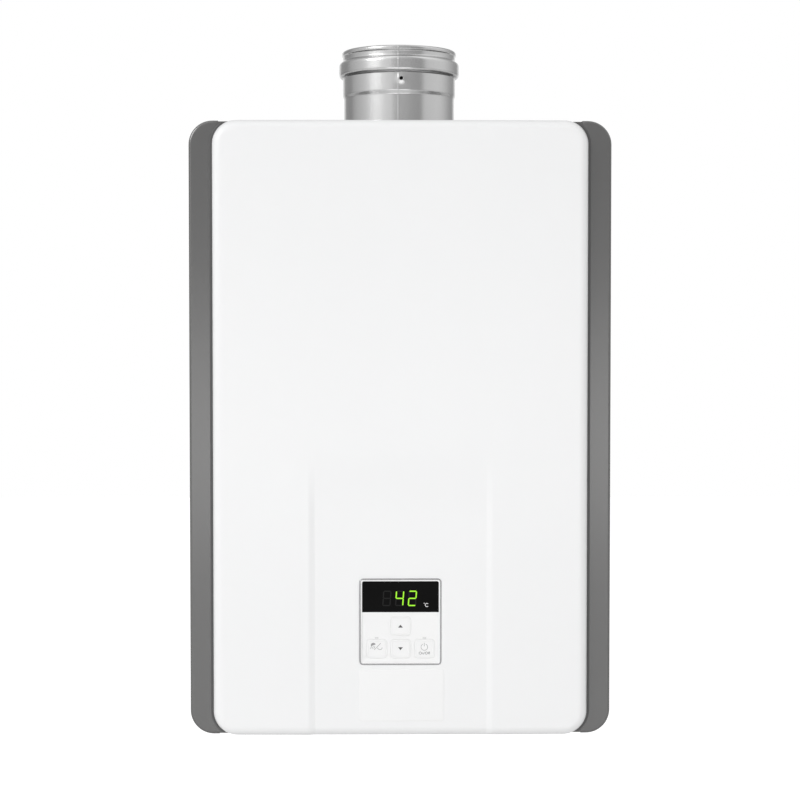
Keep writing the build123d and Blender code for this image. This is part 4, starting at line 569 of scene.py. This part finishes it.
def makeCover():
    # rings of the outline from the rim over the rounded edge, and inside them a grid on the face,
    # less the window
    look = coverLook
    halfWidth, halfHeight, middleZ = coverHigh.x, coverHigh.z, controllerMid.z
    corner, edge = look["corner"], look["edge"]
    flatX, flatZ = halfWidth - corner, halfHeight - corner
    half = np.array([controllerHigh.x, (controllerHigh.z - controllerLow.z) / 2]) + look["windowGap"]
    cut, keep = half + look["windowMargin"], half - look["windowCorner"]
    slopeLines = look["recessHalf"] - look["recessSlope"] * look["slopeLines"]
    fadeLines = coverLow.z + np.linspace(look["recessFull"], look["recessTop"], look["fadeLines"])
    alongX = np.concatenate([np.linspace(-flatX, flatX, look["linesAcross"]), slopeLines, -slopeLines])
    alongZ = np.concatenate([np.linspace(-flatZ, flatZ, look["linesUp"]), fadeLines])
    alongX = windowLines(alongX, 0, keep[0], cut[0])
    alongZ = windowLines(alongZ, middleZ, keep[1], cut[1])
    base, away = roundedLoop(halfWidth, halfHeight, corner, alongX, alongZ, look["cornerSteps"])
    turn = np.linspace(0, math.pi / 2, look["edgeSteps"])
    rimInset, rimRise = np.array(look["rimProfile"]).T * mm
    border = np.linspace(edge, corner, look["borderSteps"])[1:]
    insets = np.concatenate([rimInset, edge * (1 - np.cos(turn)), border])
    backs = np.concatenate([0 * rimInset, edge * (1 - np.sin(turn)), 0 * border])
    outline = base[None] + away[None] * (corner - insets)[:, None, None]
    ringY = coverFace(outline[..., 0], outline[..., 1]) + backs[:, None]
    ringY[:len(rimRise)] = coverLow.y + look["rim"] - rimRise[:, None]
    rings = np.stack([outline[..., 0], ringY, outline[..., 1]], axis=-1).reshape(-1, 3)
    gridX, gridZ = np.meshgrid(alongX, alongZ)
    middle = np.stack([gridX, coverFace(gridX, gridZ), gridZ], axis=-1).reshape(-1, 3)
    ringFaces = gridFaces(len(insets), len(base), wrapColumns=True)
    middleFaces = gridFaces(len(alongZ), len(alongX))
    centres = middle[middleFaces].mean(axis=1)
    inWindow = (np.abs(centres[:, 0]) < cut[0]) & (np.abs(centres[:, 2] - middleZ) < cut[1])
    besideX = alongX[np.abs(alongX) < keep[0] + look["slack"]]
    besideZ = alongZ[np.abs(alongZ - middleZ) < keep[1] + look["slack"]] - middleZ
    margin, marginFaces = windowMargin(half, cut, besideX, besideZ)
    faces = [*ringFaces, *(middleFaces[~inWindow] + len(rings))]
    faces += [face + len(rings) + len(middle) for face in marginFaces]
    verts = np.concatenate([rings, middle, margin])
    cover = addPiece("coverSkin", verts, faces, "coverPaint", "front_cover")
    thicken(cover, look["sheet"])
    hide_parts("front_cover")


def makeTabs():
    # fixing tabs: plates with a round-ended notch that is open to the rear
    look = coverLook
    half, notch = look["tabWidth"] / 2, look["notch"]
    rimY, backY = coverLow.y + look["rim"], coverHigh.y
    bow = np.linspace(0, math.pi, look["notchSteps"])
    outline = np.concatenate([
        [[-half, rimY], [half, rimY], [half, backY], [notch, backY]],
        np.column_stack([notch * np.cos(bow), backY - look["notchInset"] - notch * np.sin(bow)]),
        [[-notch, backY], [-half, backY]],
    ])
    corners = [(side, edgeZ) for edgeZ in (coverLow.z, coverHigh.z) for side in (-1, 1)]
    for index, (side, edgeZ) in enumerate(corners):
        inward = look["sheet"] if edgeZ < 0 else -look["sheet"]
        x = outline[:, 0] + side * look["tabSpacing"] / 2
        levels = [np.full(len(x), z) for z in sorted((edgeZ, edgeZ + inward))]
        verts = np.concatenate([np.column_stack([x, outline[:, 1], z]) for z in levels])
        faces = prismFaces(len(x))
        tab = addPiece(f"coverTab_{index}", verts, faces, "coverPaint", "front_cover")
        smoothEdges(tab, 30)


def makeSealShadeLips():
    # the seal's soft lip: a low profile carried along the cover's side and into its corners, in dark rubber
    # that is partly the seal and partly painted shade for the shadow gap beside the cover
    look = {
        "reach": 56, "arcSteps": 10, "sideSteps": 40,
        "profile": [(-1.2, 0), (-1.2, 0.5), (2.5, 0.5), (3.1, 0.3), (3.4, 0)],  # outset and rise in mm
    }
    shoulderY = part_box("left_side_panel")[0].y
    corner = coverLook["corner"]
    centreX, centreZ = coverHigh.x - corner, coverHigh.z - corner
    turn = np.radians(np.linspace(0, look["reach"], look["arcSteps"]))
    straight = np.linspace(-centreZ, centreZ, look["sideSteps"])[1:-1]
    angle = np.concatenate([-turn[::-1], 0 * straight, turn])
    base = np.concatenate([np.full(len(turn), -centreZ), straight, np.full(len(turn), centreZ)])
    profile = np.array(look["profile"]) * mm
    reach = corner + profile[:, :1]
    x = centreX + reach * np.cos(angle)[None]
    z = base[None] + reach * np.sin(angle)[None]
    y = np.repeat(shoulderY - profile[:, 1:], len(angle), axis=1)
    size = len(angle)
    for name, side in (("sealShadeLip_right", 1), ("sealShadeLip_left", -1)):
        verts = np.stack([side * x, y, z], axis=-1).reshape(-1, 3)
        ends = np.arange(len(profile)) * size
        faces = list(gridFaces(len(profile), size, wrapRows=True)) + [ends, ends[::-1] + size - 1]
        faces = [face[::-1] for face in faces] if side < 0 else faces
        smoothEdges(addPiece(name, verts, faces, "sealShadeRubber", "case"), 40)


def makeSidePanel(node, side):
    # a sheet with a flat shoulder: the outline of the case's side, carried from the rear edge over the
    # rounded front edge, and then ruled across to the straight inner edge
    look = {"corner": 26 * mm, "edge": 3 * mm, "sheet": 1.2 * mm, "cornerSteps": 20, "edgeSteps": 8}
    low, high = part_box(node)
    innerX, outerX = sorted((abs(low.x), abs(high.x)))
    flatX, flatZ = outerX - look["corner"], high.z - look["corner"]
    turn = np.linspace(0, math.pi / 2, look["cornerSteps"])
    baseX = np.concatenate([[innerX], np.full(2 * len(turn), flatX), [innerX]])
    baseZ = np.concatenate([np.full(len(turn) + 1, -flatZ), np.full(len(turn) + 1, flatZ)])
    awayX = np.concatenate([[0], np.sin(turn), np.cos(turn), [0]])
    awayZ = np.concatenate([[-1], -np.cos(turn), np.sin(turn), [1]])
    bend = np.linspace(0, math.pi / 2, look["edgeSteps"])
    inset = np.concatenate([[0, 0], look["edge"] * (1 - np.cos(bend))])
    y = np.concatenate([[high.y, (low.y + high.y) / 2], low.y + look["edge"] * (1 - np.sin(bend))])
    reach = (look["corner"] - inset)[:, None]
    x = baseX[None] + reach * awayX[None]
    z = baseZ[None] + reach * awayZ[None]
    x = np.concatenate([x, np.full((1, len(baseX)), innerX)])
    z = np.concatenate([z, z[-1:]])
    y = np.repeat(np.append(y, low.y)[:, None], len(baseX), axis=1)
    verts = np.stack([side * x, y, z], axis=-1).reshape(-1, 3)
    faces = gridFaces(len(x), len(baseX))
    faces = faces[:, ::-1] if side < 0 else faces
    panel = addPiece("sideShell_" + node.split("_")[0], verts, faces, "sidePaint", "case")
    thicken(panel, look["sheet"])
    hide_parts(node)


makeCover()
makeTabs()
makeSealShadeLips()
makeSidePanel("left_side_panel", -1)
makeSidePanel("right_side_panel", 1)

plateLook = {
    "width": 92.4 * mm, "height": 56.3 * mm, "corner": 3 * mm, "low": 16.9 * mm, "x": 1.2 * mm,
    "rings": [(0, 0), (0, 0.12), (0.12, 0.2), (0.4, 0.22)],
}
plateZ = coverLow.z + plateLook["low"] + plateLook["height"] / 2
plateY = float(coverFace(np.array(0.0), np.array(plateZ)))
framedPlate(
    "barePlate", {**plateLook, "y": plateY, "z": plateZ}, "whiteMoulding", "front_cover"
)
print("front cover made")


# flue collar: one rolled steel wall with step, bead and rim, a welded seam and a screw hole in a low boss

collarLow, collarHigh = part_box("flue_collar")
collarLook = {
    "wall": 0.8 * mm,
    "flange": 86 * mm,
    "tube": 63.0 * mm,
    "socket": 64.2 * mm,
    "bead": 68.6 * mm,
    "rim": 65.3 * mm,
    "step": (36.6 * mm, 40.8 * mm),  # heights over the roof, as the next three are
    "beadStart": 60.2 * mm,
    "beadEnd": (76.4 * mm, 79.8 * mm),
    "rimStart": (84.8 * mm, 86 * mm),
    "rimRoll": 1.3 * mm,
    "top": 90.3 * mm,
    "bends": [1, 0.8, 0.8, 0.3, 1, 1, 1, 3, 1, 1, 1, 1.3],  # in mm, one for each corner of the profile
    "hole": 1.8 * mm,
    "holeEdge": (0.8, 0.3),  # where the hole's side starts and how wide it is, as shares of its radius
    "pit": 2.4 * mm,
    "paintedShade": 1.12,  # how far the painted shade inside the hole reaches, as a share of the hole's radius
    "holeRise": 53.4 * mm,
    "holeAside": 1.8 * mm,
    "boss": 8 * mm,
    "bossHeight": 1.0 * mm,
    "bossFall": 2.2,
    "seam": 0.6 * mm,
    "seamHeight": 0.2 * mm,
    "seamAside": -1.4 * mm,
    "foot": 2 * mm,
    "bendSteps": 6,
    "spacing": 2.4 * mm,
    "turnSteps": 128,
    "holeRows": np.linspace(-1.0, 1.0, 37),  # in boss radii
    "holeColumns": np.linspace(-1.3, 1.3, 47),
    "seamColumns": np.linspace(-2.5, 2.5, 17),  # in seam widths
}


def roundCorners(points, radius, steps):
    # each inner corner of a polyline becomes a curve between two points one radius away from it,
    # or less than half of the shorter run
    points = np.array(points, dtype=float)
    before = points[:-2] - points[1:-1]
    after = points[2:] - points[1:-1]
    lengthBefore = np.linalg.norm(before, axis=1, keepdims=True)
    lengthAfter = np.linalg.norm(after, axis=1, keepdims=True)
    trim = np.minimum(radius, 0.45 * np.minimum(lengthBefore, lengthAfter))
    first = points[1:-1] + before / lengthBefore * trim
    last = points[1:-1] + after / lengthAfter * trim
    t = np.linspace(0, 1, steps)[None, :, None]
    curve = (1 - t) ** 2 * first[:, None] + 2 * t * (1 - t) * points[1:-1, None] + t**2 * last[:, None]
    return np.concatenate([points[:1], curve.reshape(-1, 2), points[-1:]])


def makeCollar():
    # a profile of radius and height turned round the flue's axis, and the same profile one wall further in
    look = collarLook
    axisY = (collarLow.y + collarHigh.y) / 2
    roof = coverHigh.z
    tube, socket, bead, rim = [look[label] for label in ("tube", "socket", "bead", "rim")]
    flangeZ = collarLow.z + look["wall"] - roof
    # the bead's underside is a quarter of a circle
    underside = bead - socket
    beadRound = [
        (socket + underside * math.sin(t), look["beadStart"] + underside * (1 - math.cos(t)))
        for t in np.radians([30, 60, 90])
    ]
    profile = roundCorners([
        (look["flange"], flangeZ), (tube, flangeZ),
        (tube, look["step"][0]), (socket, look["step"][1]),
        (socket, look["beadStart"]), *beadRound,
        (bead, look["beadEnd"][0]), (socket, look["beadEnd"][1]),
        (socket, look["rimStart"][0]), (rim, look["rimStart"][1]),
        (rim, look["top"] - look["rimRoll"]), (rim - look["rimRoll"], look["top"]),
    ], np.array(look["bends"])[:, None] * mm, look["bendSteps"])
    holeLines = look["holeRise"] + look["boss"] * look["holeRows"]
    along = np.concatenate([[0], np.cumsum(np.linalg.norm(np.diff(profile, axis=0), axis=1))])
    tubeBelow = np.searchsorted(profile[:, 1], look["holeRise"])
    holeAlong = along[tubeBelow] + holeLines - profile[tubeBelow, 1]
    places = np.unique(np.concatenate([along, np.arange(0, along[-1], look["spacing"]), holeAlong]))
    outer = np.column_stack([np.interp(places, along, profile[:, k]) for k in (0, 1)])
    slope = np.gradient(outer, axis=0)
    slope /= np.linalg.norm(slope, axis=1, keepdims=True)
    inner = outer + look["wall"] * np.column_stack([-slope[:, 1], slope[:, 0]])
    closed = np.concatenate([outer, inner[::-1]])
    fine = np.concatenate([
        look["holeAside"] + look["boss"] * look["holeColumns"],
        look["seamAside"] + look["seam"] * look["seamColumns"],
    ])
    turn = np.linspace(-math.pi, math.pi, look["turnSteps"] + 1)[:-1]
    turn = np.unique(np.concatenate([turn, np.arcsin(fine / socket)]))
    radius = np.repeat(closed[:, :1], len(turn), axis=1)
    height = np.repeat(closed[:, 1:], len(turn), axis=1)
    onWall = (height > look["foot"]) * (radius < bead + mm)
    across = radius * np.sin(turn)[None]
    facing = np.cos(turn)[None] > 0
    away = np.hypot(across - look["holeAside"], height - look["holeRise"])
    boss = look["bossHeight"] * np.exp(-((away / look["boss"]) ** 2) * look["bossFall"])
    edgeStart, edgeWidth = np.array(look["holeEdge"]) * look["hole"]
    pit = look["pit"] * (1 - smoothStep((away - edgeStart) / edgeWidth))
    seam = look["seamHeight"] * np.exp(-(((across - look["seamAside"]) / look["seam"]) ** 2))
    radius = radius + np.where(facing, seam + boss - pit, 0) * onWall
    x, y = radius * np.sin(turn)[None], axisY - radius * np.cos(turn)[None]
    verts = np.stack([x, y, height + roof], axis=-1).reshape(-1, 3)
    faces = gridFaces(len(closed), len(turn), wrapRows=True, wrapColumns=True)[:, ::-1]
    collar = addPiece("flueCollar", verts, faces, "collarSteel", "case")
    # the faces of the pit round the screw hole take a near-black finish: painted shade for the hole's dark
    # inside
    collar.data.materials.append(paint["paintedHoleShade"])
    centres = verts[faces].mean(axis=1) - np.array([look["holeAside"], axisY, roof + look["holeRise"]])
    paintedShade = (np.hypot(centres[:, 0], centres[:, 2]) < look["hole"] * look["paintedShade"]) & (centres[:, 1] < 0)
    collar.data.polygons.foreach_set("material_index", paintedShade.astype(np.int32))
    smoothEdges(collar, 50)
    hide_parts("flue_collar")


makeCollar()
print("flue collar made")


# controller: metal rim, display bars, key prints and lamps

displayLow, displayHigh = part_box("display_window")
displayMid = (displayLow + displayHigh) / 2
panelY = controllerLow.y + 0.5 * mm  # the panel's face lies behind the case's front edge
rimLook = {
    "outset": 0.5 * mm, "corner": 3.7 * mm,
    "rings": [
        (0.05, -2), (0, -0.7), (0.12, -0.2), (0.5, 0.05), (0.9, 0.15), (1.3, 0.15), (1.5, 0), (1.5, -0.6),
        (0.05, -2),
    ],
}
framedPlate("bezelRim", {
    **rimLook, "x": 0.0, "y": controllerLow.y, "z": controllerMid.z,
    "width": controllerHigh.x - controllerLow.x + 2 * rimLook["outset"],
    "height": controllerHigh.z - controllerLow.z + 2 * rimLook["outset"],
}, "bezelMetal", "case", filled=False)

# the drawings on the display and the keys are in mm
digitLook = {
    "width": 7.8,
    "height": 15.6,
    "bar": 1.35,
    "trim": 0.825,
    "slant": 0.07,
    "pitch": 13.9,
    "middle": (-0.9, -1.9),
    "endSteps": 7,
    "degree": ((25.9, -7.3), 0.4, 0, 360),  # place, radius and arc in degrees
    "degreeStroke": 0.32,
    "letter": ((28.8, -9.2), 1.75, 45, 315),
    "letterStroke": 0.7,
    "print": 0.06 * mm,
}
barEnds = {
    "top": ((-1, 1), (1, 1)), "upperRight": ((1, 1), (1, 0)), "lowerRight": ((1, 0), (1, -1)),
    "bottom": ((-1, -1), (1, -1)), "lowerLeft": ((-1, 0), (-1, -1)), "upperLeft": ((-1, 1), (-1, 0)),
    "centre": ((-1, 0), (1, 0)),
}
litBars = [
    (),
    ("upperLeft", "upperRight", "lowerRight", "centre"),
    ("top", "upperRight", "centre", "lowerLeft", "bottom"),
]


def barOutline(ends, place):
    # one bar of a digit: a run with half-round ends, leaned over to the right with height
    look = digitLook
    reach = np.array([look["width"] / 2, look["height"] / 2])
    start, end = np.array(ends, dtype=float) * reach
    run = (end - start) / np.linalg.norm(end - start)
    side = np.array([-run[1], run[0]])
    bow = np.linspace(-math.pi / 2, math.pi / 2, look["endSteps"])[:, None]
    arc = look["bar"] / 2 * (np.cos(bow) * run + np.sin(bow) * side)
    outline = np.concatenate([end - run * look["trim"] + arc, start + run * look["trim"] - arc])
    outline[:, 0] += look["slant"] * outline[:, 1]
    return outline + place


def ringBand(place, radius, start, end, width, steps=28):
    # a ring, or part of one between two angles in degrees, anticlockwise
    closed = end - start == 360
    turn = np.radians(np.linspace(start, end, steps, endpoint=not closed))
    ring = np.column_stack([np.cos(turn), np.sin(turn)])
    return place + ring * (radius + width / 2), place + ring * (radius - width / 2), closed


def lineBand(start, end, width):
    # a straight stroke between two points
    start, end = np.array(start, dtype=float), np.array(end, dtype=float)
    run = (end - start) / np.linalg.norm(end - start)
    side = np.array([run[1], -run[0]]) * width / 2
    return np.array([start + side, end + side]), np.array([start - side, end - side]), False


def makeDisplay():
    # three digits of seven bars each, lit or dim, and a degree sign with its letter
    look = digitLook
    lit, dim = [], []
    for index, litHere in enumerate(litBars):
        place = np.array(look["middle"]) + np.array([(index - 1) * look["pitch"], 0])
        for label, ends in barEnds.items():
            (lit if label in litHere else dim).append(barOutline(ends, place))
    sign = [ringBand(*look[label], look[label + "Stroke"]) for label in ("degree", "letter")]
    seat = (displayMid.x, displayLow.y, displayMid.z)
    inkPlate("litBars", lit, [], seat, look["print"], "digitGlow", "case")
    inkPlate("dimBars", dim, [], seat, look["print"] / 3, "ghostSegment", "case")
    inkPlate("displaySign", [], sign, seat, look["print"], "signGlow", "case")


def makeKeys():
    # arrows, a shower head with its drops struck through, and the power sign, about the key's middle
    look = {
        "print": 0.04 * mm, "stroke": 0.5, "arrow": (2.6, 1.6),
        "head": (-3.6, 3.8), "headRadius": 2.7, "headArc": (20, 200), "headSteps": 15,
        "drops": [((-5.3, 3), (-6.7, 0.1)), ((-3.5, 3), (-4.9, 0.1)), ((-1.7, 3), (-3.1, 0.1))],
        "strike": ((-2.6, -1.2), (4.4, 6)), "stem": ((0, 2.6), (0, 6.4)),
        "basin": ((3.6, 1.7), 2.6, 190, 350), "power": ((0, 1.8), 3.6, 116, 424),  # place, radius and arc
    }
    stroke = look["stroke"]
    wide, tall = look["arrow"]
    arrow = np.array([[-wide, -tall], [wide, -tall], [0, tall]])
    turn = np.radians(np.linspace(*look["headArc"], look["headSteps"]))
    head = look["head"] + np.column_stack([np.cos(turn), np.sin(turn)]) * look["headRadius"]
    drops = [lineBand(*ends, stroke) for ends in [*look["drops"], look["strike"]]]
    power = [ringBand(*look["power"], stroke), lineBand(*look["stem"], stroke)]
    prints = {
        "button_up": ([arrow], [], "keyInk"),
        "button_down": ([arrow[::-1] * np.array([1, -1])], [], "keyInk"),
        "button_mode": ([head], [*drops, ringBand(*look["basin"], stroke)], "faintInk"),
        "button_power": ([], power, "faintInk"),
    }
    for node, (fills, bands, finishName) in prints.items():
        low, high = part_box(node)
        seat = ((low.x + high.x) / 2, low.y, (low.z + high.z) / 2)
        inkPlate(node + "_print", fills, bands, seat, look["print"], finishName, node)
    makeWords(look["print"])


def makeWords(thickness):
    # On/Off under the power sign, as a mesh laid on the key
    look = {"size": 4.2 * mm, "low": 3.2 * mm}
    low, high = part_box("button_power")
    words = bpy.data.curves.new("onOff", "FONT")
    words.body = "On/Off"
    words.size = look["size"]
    words.align_x = "CENTER"
    words.extrude = thickness / 2
    holder = placeObject("onOffHolder", words)
    bpy.context.view_layer.update()
    mesh = bpy.data.meshes.new_from_object(holder.evaluated_get(bpy.context.evaluated_depsgraph_get()))
    bpy.data.objects.remove(holder)
    points = readRows(mesh.vertices, "co")
    placed = np.column_stack([
        points[:, 0] + (low.x + high.x) / 2,
        low.y - thickness / 2 - points[:, 2],
        points[:, 1] + low.z + look["low"],
    ])
    mesh.vertices.foreach_set("co", placed.astype(np.float32).ravel())
    mesh.update()
    mesh.materials.clear()
    mesh.materials.append(paint["keyInk"])
    piece = placeObject("onOffPrint", mesh)
    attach(piece, "button_power")


def makeKeyFilm():
    # a thin white film over the gap round each key: flat on the panel outside, it rises to lap the key
    look = {
        "outset": 2.2, "lap": 0.45, "film": 0.03, "corner": 2.5, "faceDepth": 0.6 * mm,
        "ramp": [(0.4, 0.25), (0.8, 0.85), (1, 1)],  # shares of the outset and of the rise
    }
    outset, film = look["outset"], look["film"]
    inside = outset + look["lap"]
    for node in ("button_up", "button_down", "button_mode", "button_power"):
        # the key's face alone, without the flange that holds it behind the panel
        points = readRows(nodes[node].data.vertices, "co")
        face = points[points[:, 1] < points[:, 1].min() + look["faceDepth"]][:, [0, 2]]
        low, high = face.min(axis=0), face.max(axis=0)
        rise = (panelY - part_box(node)[0].y) / mm
        ramp = [(outset * across, rise * up + film) for across, up in look["ramp"]]
        framedPlate(node + "_film", {
            "width": high[0] - low[0] + 2 * outset * mm, "height": high[1] - low[1] + 2 * outset * mm,
            "corner": (look["corner"] + outset) * mm,
            "x": (low[0] + high[0]) / 2, "y": panelY, "z": (low[1] + high[1]) / 2,
            "rings": [
                (0, -film), (0, film / 3), *ramp, (inside, rise + film), (inside, rise + film / 2),
                (outset, rise + film / 2), (0, -film),
            ],
        }, "whiteMoulding", "case", filled=False)


def makeLamps():
    look = {
        "width": 4 * mm, "height": 1.9 * mm, "corner": 0.5 * mm, "aside": 26 * mm, "low": -17.8 * mm,
        "rings": [(0, 0), (0, 0.05), (0.15, 0.1)],
    }
    for index, side in enumerate((-1, 1)):
        place = {"x": side * look["aside"], "y": panelY, "z": controllerMid.z + look["low"]}
        framedPlate(f"lamp_{index}", {**look, **place}, "lampLens", "case")


makeDisplay()
makeKeys()
makeKeyFilm()
makeLamps()
print("controller made")


# control board: the larger components get finishes of their own

def makeControlBoard():
    # a face in front of the board takes its finish from its share of the height and its side
    look = {"board": 1.6 * mm, "slack": 0.2 * mm, "lowShare": 0.2, "middleShare": 0.55}
    mesh = dressNode("control_board", "boardResist").data
    for finishName in ("tapeYellow", "blackMoulding", "relayBlue", "whiteMoulding"):
        mesh.materials.append(paint[finishName])
    low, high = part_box("control_board")
    centres = readRows(mesh.polygons, "center")
    share = (centres[:, 2] - low.z) / (high.z - low.z)
    inRight = centres[:, 0] > (low.x + high.x) / 2
    kind = np.select([share < look["lowShare"], share < look["middleShare"], inRight], [4, 3, 2], 1)
    kind = np.where(centres[:, 1] < high.y - look["board"] - look["slack"], kind, 0)
    mesh.polygons.foreach_set("material_index", kind.astype(np.int32))
    mesh.update()


makeControlBoard()
special = {"front_cover", "flue_collar", "control_board", "left_side_panel", "right_side_panel"}
ownFinish = {
    "fan_housing": "castAluminium", "fan_cover": "castAluminium", "condensate_trap": "greyMoulding",
    "condensate_pipe": "greyMoulding", "case_screws": "zincSheet", "flow_turbine": "whiteMoulding",
}
ownSlot = {"top_panel": "grey_paint", "bottom_panel": "grey_paint"}
for node in sorted(set(nodes) - special):
    slot = ownSlot.get(node, slotOf[node])
    dressNode(node, ownFinish.get(node, slotFinish[slot]))
print("inner and case pieces dressed")


# pipe ends: each plain end gets a cut thread

threadLook = {
    "root": 12.05 * mm, "pitch": 1.81 * mm, "cut": 15 * mm, "fade": 1.6 * mm, "around": 72, "perTurn": 10,
    "near": 0.05 * mm, "above": 0.5 * mm,
}
threadEnds = {"cold_inlet": "water_inlet", "hot_outlet": "hot_outlet", "gas_inlet": "gas_inlet"}


def makeThread(mountName, node):
    # radius over angle and height: a triangle wave along a helix between root and crest,
    # which fades in at the lower end and runs out into the plain shank
    look = threadLook
    mount = next(mount for mount in record["mounts"] if mount["name"] == mountName)
    middle = np.array(mount["pos_m"][:2])
    crest, length = mount["dims"]["r_mm"] * mm, mount["dims"]["length_mm"] * mm
    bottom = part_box(node)[0].z
    height = np.linspace(0, length, int(length / look["pitch"] * look["perTurn"]))[:, None]
    turn = np.linspace(0, 2 * math.pi, look["around"], endpoint=False)[None]
    phase = (height / look["pitch"] - turn / (2 * math.pi)) % 1
    wave = 1 - np.abs(2 * phase - 1)
    plain = smoothStep((height - look["cut"]) / look["fade"])
    entry = smoothStep(height / look["fade"])
    radius = look["root"] + (crest - look["root"]) * (wave * (1 - plain) + plain) * entry
    x, y = middle[0] + radius * np.cos(turn), middle[1] + radius * np.sin(turn)
    verts = np.stack([x, y, bottom + height + 0 * turn], axis=-1).reshape(-1, 3)
    faces = gridFaces(len(height), look["around"], wrapColumns=True)
    addPiece(mountName + "_thread", verts, faces, "forgedBrass", "case")
    # the dressed end steps back to the root, so that the thread shows
    end = bpy.data.objects["dressed_" + node].data
    points = readRows(end.vertices, "co")
    across = points[:, :2] - middle
    offCrest = np.abs(np.hypot(across[:, 0], across[:, 1]) - crest)
    onEnd = (offCrest < look["near"]) & (points[:, 2] < bottom + length + look["above"])
    points[onEnd, :2] -= across[onEnd] * (1 - look["root"] / crest)
    end.vertices.foreach_set("co", points.ravel())
    end.update()


for mountName, node in threadEnds.items():
    makeThread(mountName, node)
print("pipe threads cut")


# stage, light and camera

def makeFloor():
    # lifted towards white for the camera, and a little for what shines, with the object's shadow left in it
    look = {"z": -0.62, "half": 6.0, "colour": 0.86, "roughness": 0.9, "seen": 0.5, "mirrored": 0.06}
    half, z = look["half"], look["z"]
    material = bpy.data.materials.new("paleFloor")
    material.use_nodes = True
    tree = material.node_tree
    path = addNode(tree, "LightPath", {}).outputs
    seen = addMath(tree, "MAXIMUM", path["Is Camera Ray"], path["Is Transmission Ray"])
    faint = addMath(tree, "MULTIPLY", path["Is Glossy Ray"], look["mirrored"])
    given = {
        "Base Color": colour(look["colour"]), "Roughness": look["roughness"], "Emission Color": colour(1.0),
        "Emission Strength": addMath(tree, "MULTIPLY_ADD", seen, look["seen"], faint),
    }
    for label, value in given.items():
        feed(tree, tree.nodes["Principled BSDF"].inputs[label], value)
    mesh = bpy.data.meshes.new("floor")
    corners = [(-half, -half, z), (half, -half, z), (half, half, z), (-half, half, z)]
    mesh.from_pydata(corners, [], [[0, 1, 2, 3]])
    mesh.materials.append(material)
    placeObject("floor", mesh)


def makeWorld():
    # white behind the object, and a studio of soft upright bands in front of it, by direction
    look = {
        "bands": [
            (-180, 0.42), (-118, 0.36), (-106, 0.58), (-76, 0.78), (-50, 1.0), (-18, 0.92), (-8, 0.6),
            (20, 0.52), (46, 0.42), (52, 0.82), (90, 0.88), (106, 0.75), (126, 0.5), (140, 0.4), (180, 0.42),
        ],
        "upward": 0.6, "level": 0.12, "behind": (0.84, 0.92),
    }
    world = bpy.data.worlds.new("studio")
    bpy.context.scene.world = world
    world.use_nodes = True
    tree = world.node_tree
    place = addNode(tree, "TexCoord", {}).outputs["Generated"]
    parts = addNode(tree, "SeparateXYZ", {0: place}).outputs
    path = addNode(tree, "LightPath", {}).outputs
    turn = addMath(tree, "ARCTAN2", parts["X"], addMath(tree, "MULTIPLY", parts["Y"], -1.0))
    spread = addNode(tree, "MapRange", {"Value": turn, "From Min": -math.pi, "From Max": math.pi})
    bands = addNode(tree, "ValToRGB", {0: spread.outputs[0]})
    ramp = bands.color_ramp
    while len(ramp.elements) < len(look["bands"]):
        ramp.elements.new(0.5)
    for element, (angle, level) in zip(ramp.elements, look["bands"]):
        element.position = (angle + 180) / 360
        element.color = colour(level)
    # what shines mirrors a studio that is lighter above than below
    height = addMath(tree, "SUBTRACT", parts["Z"], look["level"])
    upward = addMath(tree, "MULTIPLY", path["Is Glossy Ray"], height)
    factor = addMath(tree, "MULTIPLY_ADD", upward, look["upward"], 1.0)
    shaded = addNode(tree, "VectorMath", {0: bands.outputs[0], "Scale": factor}, operation="SCALE")
    # the camera meets white, and so does a mirrored ray that heads straight back
    near, far = look["behind"]
    behind = addNode(tree, "MapRange", {"Value": parts["Y"], "From Min": near, "From Max": far}).outputs[0]
    mirrored = addMath(tree, "MULTIPLY", path["Is Glossy Ray"], behind)
    seen = addMath(tree, "MAXIMUM", path["Is Camera Ray"], path["Is Transmission Ray"])
    white = addMath(tree, "MAXIMUM", seen, mirrored)
    studio = mixColours(tree, white, shaded.outputs[0], colour(1.0))
    feed(tree, tree.nodes["Background"].inputs["Color"], studio)


lampLooks = {
    "keyLamp": {"place": (-5.8, -4.8, 4.0), "target": (0, -0.2, 0), "size": (3.6, 3.6), "power": 213.0},
    "fillLamp": {"place": (5.8, -1.8, 2.8), "target": (0, -0.2, 0), "size": (2.5, 2.5), "power": 32.0},
    "frontLamp": {"place": (0.0, -3.0, -0.15), "target": (0, -0.2, 0), "size": (2.4, 0.5), "power": 4.8},
    "lowLamp": {"place": (0.0, -1.9, -0.6), "target": (0, -0.2, -0.5), "size": (3.0, 1.0), "power": 7.1},
}
mirroredLamps = ("keyLamp", "frontLamp")


def addLamp(name, look):
    lamp = bpy.data.lights.new(name, "AREA")
    lamp.shape = "RECTANGLE"
    lamp.size, lamp.size_y = look["size"]
    lamp.energy = look["power"]
    holder = placeObject(name, lamp)
    holder.location = look["place"]
    holder.visible_camera = False
    holder.visible_glossy = name in mirroredLamps
    away = np.array(look["target"]) - np.array(look["place"])
    tilt = math.atan2(math.hypot(away[0], away[1]), -away[2])
    holder.rotation_euler = (tilt, 0, math.atan2(away[1], away[0]) - math.pi / 2)


def makeCamera():
    look = {"place": (-0.025, -2.306, 0.105), "tilt": 2.04, "turn": 0.684, "lens": 85.23, "sensor": 36.0}
    camera = bpy.data.cameras.new("camera")
    camera.lens = look["lens"]
    camera.sensor_width = look["sensor"]
    holder = placeObject("camera", camera)
    holder.location = look["place"]
    holder.rotation_euler = (math.radians(90 - look["tilt"]), 0, -math.radians(look["turn"]))
    bpy.context.scene.camera = holder


makeFloor()
makeWorld()
for name, look in lampLooks.items():
    addLamp(name, look)
makeCamera()
bpy.context.scene.view_settings.view_transform = "Standard"
print("stage, light and camera set")
